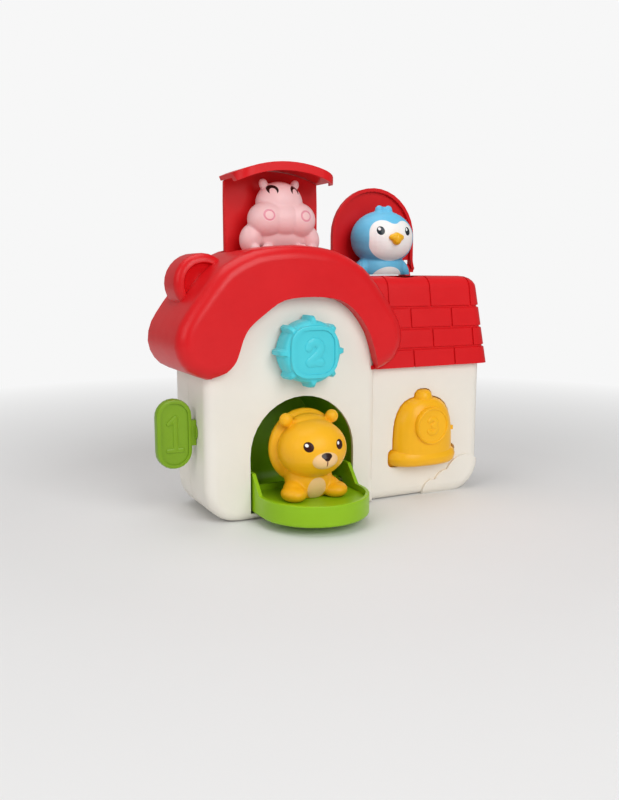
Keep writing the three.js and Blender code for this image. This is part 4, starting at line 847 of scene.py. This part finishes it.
def figure(name: str, middle: float, masses: Iterable[Mass], cuts: dict[Trim, float], voxel: float = 0.62,
           rounds: int = 6, rings: int = 20) -> bpy.types.Object:
    """One soft animal from rounded masses that run into each other.

    Args:
        name: Name of the piece.
        middle: Its middle line across, in mm.
        masses: Its masses.
        cuts: Places of its flat cuts, in mm.
        voxel: Size of the mesh's grid in mm.
        rounds: Rounds of smoothing.
        rings: Rings of faces in each mass.

    Returns:
        The piece.
    """
    work = bmesh.new()
    for mass in masses:
        for side in (-1, 1) if mass.both else (1,):
            x, y, z = mass.centre
            tilt = (mass.tilt[0], mass.tilt[1] * side, mass.tilt[2] * side)
            ball(work, spot(middle + x * side, y, z), Vector(mass.half) * MM, tilt, rings)
    mesh = bpy.data.meshes.new(name)
    work.to_mesh(mesh)
    work.free()
    piece = link(name, mesh)
    remesh = piece.modifiers.new("melt", "REMESH")
    remesh.mode = "VOXEL"
    remesh.voxel_size = voxel * MM
    soften = piece.modifiers.new("soften", "SMOOTH")
    soften.factor = 0.5
    soften.iterations = rounds
    baked(piece)

    def trim(shape: bmesh.types.BMesh) -> None:
        """Takes off what lies beyond each flat cut and closes the hole."""
        for side, place in cuts.items():
            point = spot(0.0, place if side.value[1] else 0.0, place if side.value[2] else 0.0)
            parts = shape.verts[:] + shape.edges[:] + shape.faces[:]
            outwards = Vector(side.value)
            bmesh.ops.bisect_plane(shape, geom=parts, plane_co=point, plane_no=outwards, clear_outer=True)
            rim = [edge for edge in shape.edges if edge.is_boundary]
            bmesh.ops.holes_fill(shape, edges=rim)
        clean(shape)

    edit(piece.data, trim)
    piece.data.shade_smooth()
    piece.data.set_sharp_from_angle(angle=math.radians(60))
    return piece


def numeral(name: str, strokes: Iterable[Sequence[Pair]], bead: float, rise: float,
            middle: Triple) -> bpy.types.Object:
    """A raised numeral with round ends and a soft top, facing the front.

    Args:
        name: Name of the piece.
        strokes: Its strokes, each a chain of places across and up in mm.
        bead: Half the width of a stroke in mm.
        rise: How far it stands out of the surface in mm.
        middle: Its middle on the surface in mm.

    Returns:
        The piece.
    """
    x, y, z = middle
    masses = []
    for stroke in strokes:
        for (x0, z0), (x1, z1) in zip(stroke, stroke[1:]):
            steps = max(1, round(math.dist((x0, z0), (x1, z1)) / (bead * 0.4)))
            for k in range(steps + 1):
                part = k / steps
                centre = (x0 + (x1 - x0) * part, y, z + z0 + (z1 - z0) * part)
                masses.append(Mass(centre, (bead, rise * 1.3, bead)))
    return figure(name, x, masses, {}, 0.3, 3, 8)


# The toy's sub-assemblies


@dataclass
class Housing:
    """Body shell and its screws."""

    bench: Bench
    screws: int = 5

    def build(self) -> None:
        """Dresses the two halves of the shell and sets the screws."""
        self.bench.skin("front_shell", WHITE, 0.5)
        self.bench.skin("rear_shell", WHITE, 0.4)
        self.bench.skin("door_alcove", GREEN, 0.3)
        nodes = [f"housing_screw_{k + 1}" for k in range(self.screws)]
        for node in nodes:
            self.bench.dress(node, SCREW)
        for node in ("door_pin_left", "door_pin_right", "lid_rod", "lid_latch_pin"):
            self.bench.dress(node, SPRING)


@dataclass
class Roofs:
    """The arched roof and the brick roof."""

    bench: Bench

    def build(self) -> None:
        """Dresses both roofs."""
        self.bench.skin("arch_roof", RED, 0.5, 42)
        self.bench.skin("brick_roof", RED, 0.3, 36)


@dataclass
class Door:
    """The drop-down door with the lion on it, and its hidden catch.

    Attributes:
        middle: The door's middle line across, in mm.
        floor: Height of its floor in mm.
    """

    bench: Bench
    middle: float = -41.0
    floor: float = 15.3

    def lion(self) -> bpy.types.Object:
        """The sitting lion with its round mane, ears, muzzle and front paws."""
        masses = [
            Mass((0.0, 0.0, 46.1), (24.7, 8.0, 24.7)),
            Mass((0.0, -12.5, 46.9), (22.5, 20.0, 18.6)),
            Mass((0.0, -29.4, 42.5), (8.8, 4.6, 5.6)),
            Mass((0.0, -7.5, 63.0), (12.0, 7.0, 5.4)),
            Mass((16.1, -8.3, 65.5), (4.4, 4.0, 4.4), both=True),
            Mass((0.0, -7.2, 26.4), (15.8, 13.6, 15.0)),
            Mass((12.0, -11.5, 21.0), (7.2, 9.4, 6.6), (0.0, 0.0, 14.0), both=True),
            Mass((14.4, -15.8, 19.5), (8.2, 9.5, 5.2), both=True),
        ]
        return figure("lion_figure_skin", self.middle, masses, {Trim.BELOW: self.floor})

    def build(self) -> None:
        """Makes the lion and dresses the door, its floor and its hardware."""
        self.bench.skin("door_shell", GREEN, 0.5)
        self.bench.skin("tray_floor", GREEN, 0.3)
        self.bench.mount(self.lion(), LION, "lion_door", ["lion_figure"])
        self.bench.dress("lion_screw", SCREW)
        self.bench.dress("door_latch", INNER)


@dataclass
class Lift:
    """The hippo lift: shaft, platform, back, cap and figure.

    Attributes:
        middle: The lift's middle line across, in mm.
        depth: The figure's middle, in mm behind the front face.
        floor: Height of the figure's foot in mm.
        rear: Place of its flat back, in mm behind the front face.
    """

    bench: Bench
    middle: float = -41.0
    depth: float = 35.6
    floor: float = 169.3
    rear: float = 47.2

    def hippo(self) -> bpy.types.Object:
        """The hippo with its broad snout, small ears, arms and toes."""
        y = self.depth
        masses = [
            Mass((0.0, y, 201.3), (16.2, 11.3, 13.6)),
            Mass((10.6, y - 3.9, 190.4), (13.1, 10.7, 11.6), both=True),
            Mass((0.0, y - 3.9, 190.4), (15.4, 10.7, 11.6)),
            Mass((0.0, y, 180.8), (19.6, 9.7, 13.0)),
            Mass((11.2, y, 213.0), (2.9, 2.7, 3.6), (0.0, 18.0, 0.0), both=True),
            Mass((20.9, y - 1.0, 178.0), (7.2, 7.8, 9.7), (0.0, -10.0, 0.0), both=True),
            Mass((12.0, y - 9.0, 172.2), (4.0, 3.6, 2.9), both=True),
            Mass((20.5, y - 7.6, 172.0), (3.4, 3.4, 2.8), both=True),
        ]
        cuts = {Trim.BELOW: self.floor, Trim.BEHIND: self.rear}
        return figure("hippo_figure_skin", self.middle, masses, cuts, 0.56, 5)

    def build(self) -> None:
        """Makes the hippo and dresses the lift and its latch."""
        for node in ("lift_back", "lift_cap", "lift_platform"):
            self.bench.skin(node, RED, 0.4)
        self.bench.dress("lift_shaft", INNER)
        self.bench.mount(self.hippo(), HIPPO, "hippo_lift", ["hippo_figure"])
        self.bench.dress("hippo_latch", INNER)


@dataclass
class Flap:
    """The round lid that carries the penguin.

    Attributes:
        middle: The penguin's middle line across, in mm.
        depth: Its middle, in mm behind the front face.
        floor: Height of its foot in mm.
        rear: Place of its flat back, in mm behind the front face.
    """

    bench: Bench
    middle: float = 44.5
    depth: float = 46.0
    floor: float = 154.8
    rear: float = 58.6

    def penguin(self) -> bpy.types.Object:
        """The penguin with its round head, tuft and small wings."""
        y = self.depth
        masses = [
            Mass((0.0, y, 180.9), (23.4, 19.3, 18.9)),
            Mass((0.0, y + 0.4, 177.4), (22.8, 18.4, 15.6)),
            Mass((0.0, y + 1.0, 159.2), (17.4, 12.2, 13.0)),
            Mass((17.2, y + 0.6, 158.4), (4.6, 6.4, 8.6), (0.0, -26.0, 0.0), both=True),
            Mass((3.7, y - 1.8, 200.2), (3.1, 2.8, 3.2), both=True),
            Mass((0.0, y - 1.6, 199.8), (2.6, 2.6, 2.8)),
        ]
        cuts = {Trim.BELOW: self.floor, Trim.BEHIND: self.rear}
        return figure("penguin_figure_skin", self.middle, masses, cuts)

    def beak(self) -> bpy.types.Object:
        """The broad beak, a soft diamond."""
        y = self.depth - 19.2
        masses = [
            Mass((0.0, y - 0.2, 180.4), (5.9, 3.4, 3.0)),
            Mass((0.0, y - 0.4, 179.6), (3.6, 3.8, 4.4)),
        ]
        return figure("penguin_beak", self.middle, masses, {}, 0.3, 6)

    def build(self) -> None:
        """Makes the penguin and its beak, and dresses its lid and latch."""
        self.bench.skin("penguin_lid", RED, 0.4)
        self.bench.mount(self.penguin(), PENGUIN, "penguin_flap", ["penguin_figure"])
        self.bench.mount(self.beak(), BEAK, "penguin_flap")
        self.bench.dress("lid_latch", INNER)


ONE = (((-3.6, 6.6), (0.6, 10.3), (0.6, -10.3)), ((-4.3, -10.3), (4.9, -10.3)))
TWO = (((-4.1, 3.1), (-3.0, 5.2), (-0.8, 6.3), (1.8, 6.0), (3.8, 4.2), (4.1, 2.0), (2.6, -0.8), (-0.4, -3.4),
        (-3.6, -6.3), (4.1, -6.3)),)
THREE = (((-3.0, 3.6), (-1.4, 4.9), (1.2, 4.8), (2.7, 3.2), (2.2, 1.2), (-0.2, 0.3), (2.5, -0.6), (3.1, -2.8),
          (1.4, -4.8), (-1.4, -4.9), (-3.2, -3.6)),)


@dataclass
class Controls:
    """Key, dial and bell with their raised numerals and rims.

    Attributes:
        key_middle: Middle of the key's front, in mm.
        dial_middle: Middle of the dial's field, in mm.
        bell_middle: Middle of the bell's disc, in mm.
        ring_radius: Radius of the raised ring on the bell, in mm.
        ring_bead: Half the width of that ring in mm.
        ring_steps: Sides of the ring.
    """

    bench: Bench
    key_middle: Triple = (-121.3, 17.5, 57.3)
    dial_middle: Triple = (-41.0, -16.5, 107.7)
    bell_middle: Triple = (54.5, -8.0, 52.0)
    ring_radius: float = 11.9
    ring_bead: float = 0.7
    ring_steps: int = 48

    def bead(self, name: str, points: Iterable[Pair], middle: Triple, thick: float) -> bpy.types.Object:
        """A raised bead round a path on a face that looks to the front."""
        loop = [spot(middle[0] + x, middle[1], middle[2] + z) for x, z in points]
        piece = rim_tree().run(name, path_mesh(loop, True), {"Bead": thick * MM})
        edit(piece.data, clean)
        piece.data.shade_smooth()
        return piece

    def build(self) -> None:
        """Dresses the three controls and adds what stands on their faces."""
        bench = self.bench
        bench.skin("key", KEY_GREEN, 0.35)
        bench.skin("dial", BLUE, 0.3, 44)
        bench.skin("bell_button", BELL_YELLOW, 0.3, 44)
        for node in ("key_cam", "dial_cam"):
            bench.dress(node, INNER)
        bench.dress("dial_screw", SCREW)
        bench.mount(numeral("dial_numeral", TWO, 3.0, 0.8, self.dial_middle), BLUE, "turn_dial")
        bench.mount(numeral("bell_numeral", THREE, 1.8, 0.6, self.bell_middle), BELL_YELLOW, "bell")
        bench.mount(numeral("key_numeral", ONE, 1.7, 0.6, self.key_middle), KEY_GREEN, "turn_key")
        turns = [2 * math.pi * k / self.ring_steps for k in range(self.ring_steps)]
        ring = [(math.cos(turn) * self.ring_radius, math.sin(turn) * self.ring_radius) for turn in turns]
        bench.mount(self.bead("bell_ring", ring, self.bell_middle, self.ring_bead), BELL_YELLOW, "bell")


@dataclass
class Springs:
    """The four wound springs inside.

    Attributes:
        coil_radius: Radius of the lift spring's winding in metres.
        wire: Radius of its wire in metres.
        gap: Room left at each of its ends in metres.
        turns: Its turns.
        keep: Part of its length that is left when the lift is down; not used.
    """

    bench: Bench
    coil_radius: float = 0.008
    wire: float = 0.00075
    gap: float = 0.0008
    turns: float = 11.0
    keep: float = 0.36

    def build(self) -> None:
        """Winds the lift spring anew and dresses the others."""
        tree = coil_tree()
        low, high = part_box("lift_spring")
        sizes = {"Radius": self.coil_radius, "Length": high.z - low.z - 2 * self.gap, "Turns": self.turns,
                 "Wire": self.wire, "Finish": SPRING.build()}
        coil = tree.run("lift_spring_coil", bpy.data.meshes.new("coil"), sizes)
        foot = ((low.x + high.x) / 2, (low.y + high.y) / 2, low.z + self.gap)
        coil.data.transform(Matrix.Translation(foot))
        edit(coil.data, clean)
        coil.data.shade_smooth()
        self.bench.mount(coil, SPRING, "house", ["lift_spring"])
        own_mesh(coil)
        for node in ("door_spring", "lid_spring", "lid_latch_spring"):
            self.bench.dress(node, SPRING)


@dataclass
class Stage:
    """Floor, lamps and camera.

    Attributes:
        eye: Place of the camera in metres.
        turn: Degrees that it looks to the right of straight ahead.
        dip: Degrees that it looks down.
        lens: Focal length in mm.
        near: Distance in mm up to which the floor is lit like the toy.
        far: Distance in mm from which it shows plain white.
    """

    eye: Triple = (-0.2704, -0.502, 0.1574)
    turn: float = 26.6
    dip: float = 8.92
    lens: float = 36.99
    near: float = 220.0
    far: float = 700.0

    def camera(self) -> None:
        """Sets the camera at the photograph's viewing angle."""
        data = bpy.data.cameras.new("camera")
        data.lens = self.lens
        data.sensor_width = 36.0
        data.clip_start = 0.01
        camera = bpy.data.objects.new("camera", data)
        bpy.context.scene.collection.objects.link(camera)
        camera.location = self.eye
        turn, dip = math.radians(self.turn), math.radians(self.dip)
        look = Vector((math.sin(turn) * math.cos(dip), math.cos(turn) * math.cos(dip), -math.sin(dip)))
        camera.rotation_mode = "QUATERNION"
        camera.rotation_quaternion = look.to_track_quat("-Z", "Y")
        bpy.context.scene.camera = camera

    def floor(self) -> None:
        """Lays a wide pale floor."""
        work = bmesh.new()
        bmesh.ops.create_circle(work, cap_ends=True, segments=96, radius=6.0)
        mesh = bpy.data.meshes.new("floor")
        work.to_mesh(mesh)
        work.free()
        floor = link("floor", mesh)
        graph = Graph("pale_floor")
        tone = graph.noise(60, 3.0) * 0.3 + 0.5
        colour = graph.blend(tone, (0.80, 0.80, 0.80, 1.0), (0.84, 0.84, 0.84, 1.0))
        shader = graph.node("ShaderNodeBsdfPrincipled", None, {"Base Color": colour, "Roughness": 0.7})
        across, back, _ = graph.along()
        back = back - FRONT_TO_ORIGIN
        reach = (across * across + back * back).root()
        span = self.far - self.near
        away = graph.maths("MULTIPLY_ADD", reach, 1 / span, -self.near / span, clamp=True)
        seen = graph.node("ShaderNodeLightPath").outputs["Is Camera Ray"]
        paper = graph.node("ShaderNodeEmission", None, {"Color": PAPER})
        sockets = {0: away * Amount(graph, seen), 1: shader.outputs[0], 2: paper.outputs[0]}
        mixed = graph.node("ShaderNodeMixShader", None, sockets)
        graph.node("ShaderNodeOutputMaterial", None, {"Surface": mixed.outputs[0]})
        floor.data.materials.append(graph.material)

    def lamp(self, name: str, place: Triple, aim: Triple, width: float, power: float) -> None:
        """Hangs one soft square lamp."""
        data = bpy.data.lights.new(name, "AREA")
        data.shape = "SQUARE"
        data.size = width
        data.energy = power
        lamp = bpy.data.objects.new(name, data)
        bpy.context.scene.collection.objects.link(lamp)
        lamp.location = place
        lamp.rotation_mode = "QUATERNION"
        lamp.rotation_quaternion = (Vector(aim) - Vector(place)).to_track_quat("-Z", "Y")

    def world(self) -> None:
        """Gives a soft even light, and white where the camera sees it."""
        world = bpy.data.worlds.new("studio")
        bpy.context.scene.world = world
        world.use_nodes = True
        nodes, links = world.node_tree.nodes, world.node_tree.links
        nodes.clear()
        path = nodes.new("ShaderNodeLightPath")
        light, seen = nodes.new("ShaderNodeBackground"), nodes.new("ShaderNodeBackground")
        light.inputs[0].default_value = (1.0, 0.985, 0.965, 1.0)
        light.inputs[1].default_value = 0.28
        seen.inputs[0].default_value = PAPER
        seen.inputs[1].default_value = 1.0
        mix, out = nodes.new("ShaderNodeMixShader"), nodes.new("ShaderNodeOutputWorld")
        links.new(path.outputs["Is Camera Ray"], mix.inputs[0])
        links.new(light.outputs[0], mix.inputs[1])
        links.new(seen.outputs[0], mix.inputs[2])
        links.new(mix.outputs[0], out.inputs[0])

    def build(self) -> None:
        """Sets up floor, light and camera."""
        bpy.context.scene.view_settings.view_transform = "Standard"
        self.floor()
        self.world()
        self.lamp("front_lamp", (0.1, -1.3, 0.85), (0.0, 0.0, 0.1), 0.9, 10.9)
        self.lamp("top_lamp", (-0.2, 0.1, 1.3), (0.0, 0.0, 0.1), 1.0, 6.3)
        self.lamp("left_lamp", (-1.2, -0.5, 0.7), (0.0, 0.0, 0.1), 0.8, 3.45)
        self.camera()


def main() -> None:
    """Builds the toy's looks in order."""
    logging.basicConfig(level=logging.INFO, format="%(name)s %(message)s")
    bench = Bench(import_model())
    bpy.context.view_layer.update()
    for kind in (Housing, Roofs, Door, Lift, Flap, Controls, Springs):
        kind(bench).build()
    Stage().build()


if __name__ == "__main__":
    main()
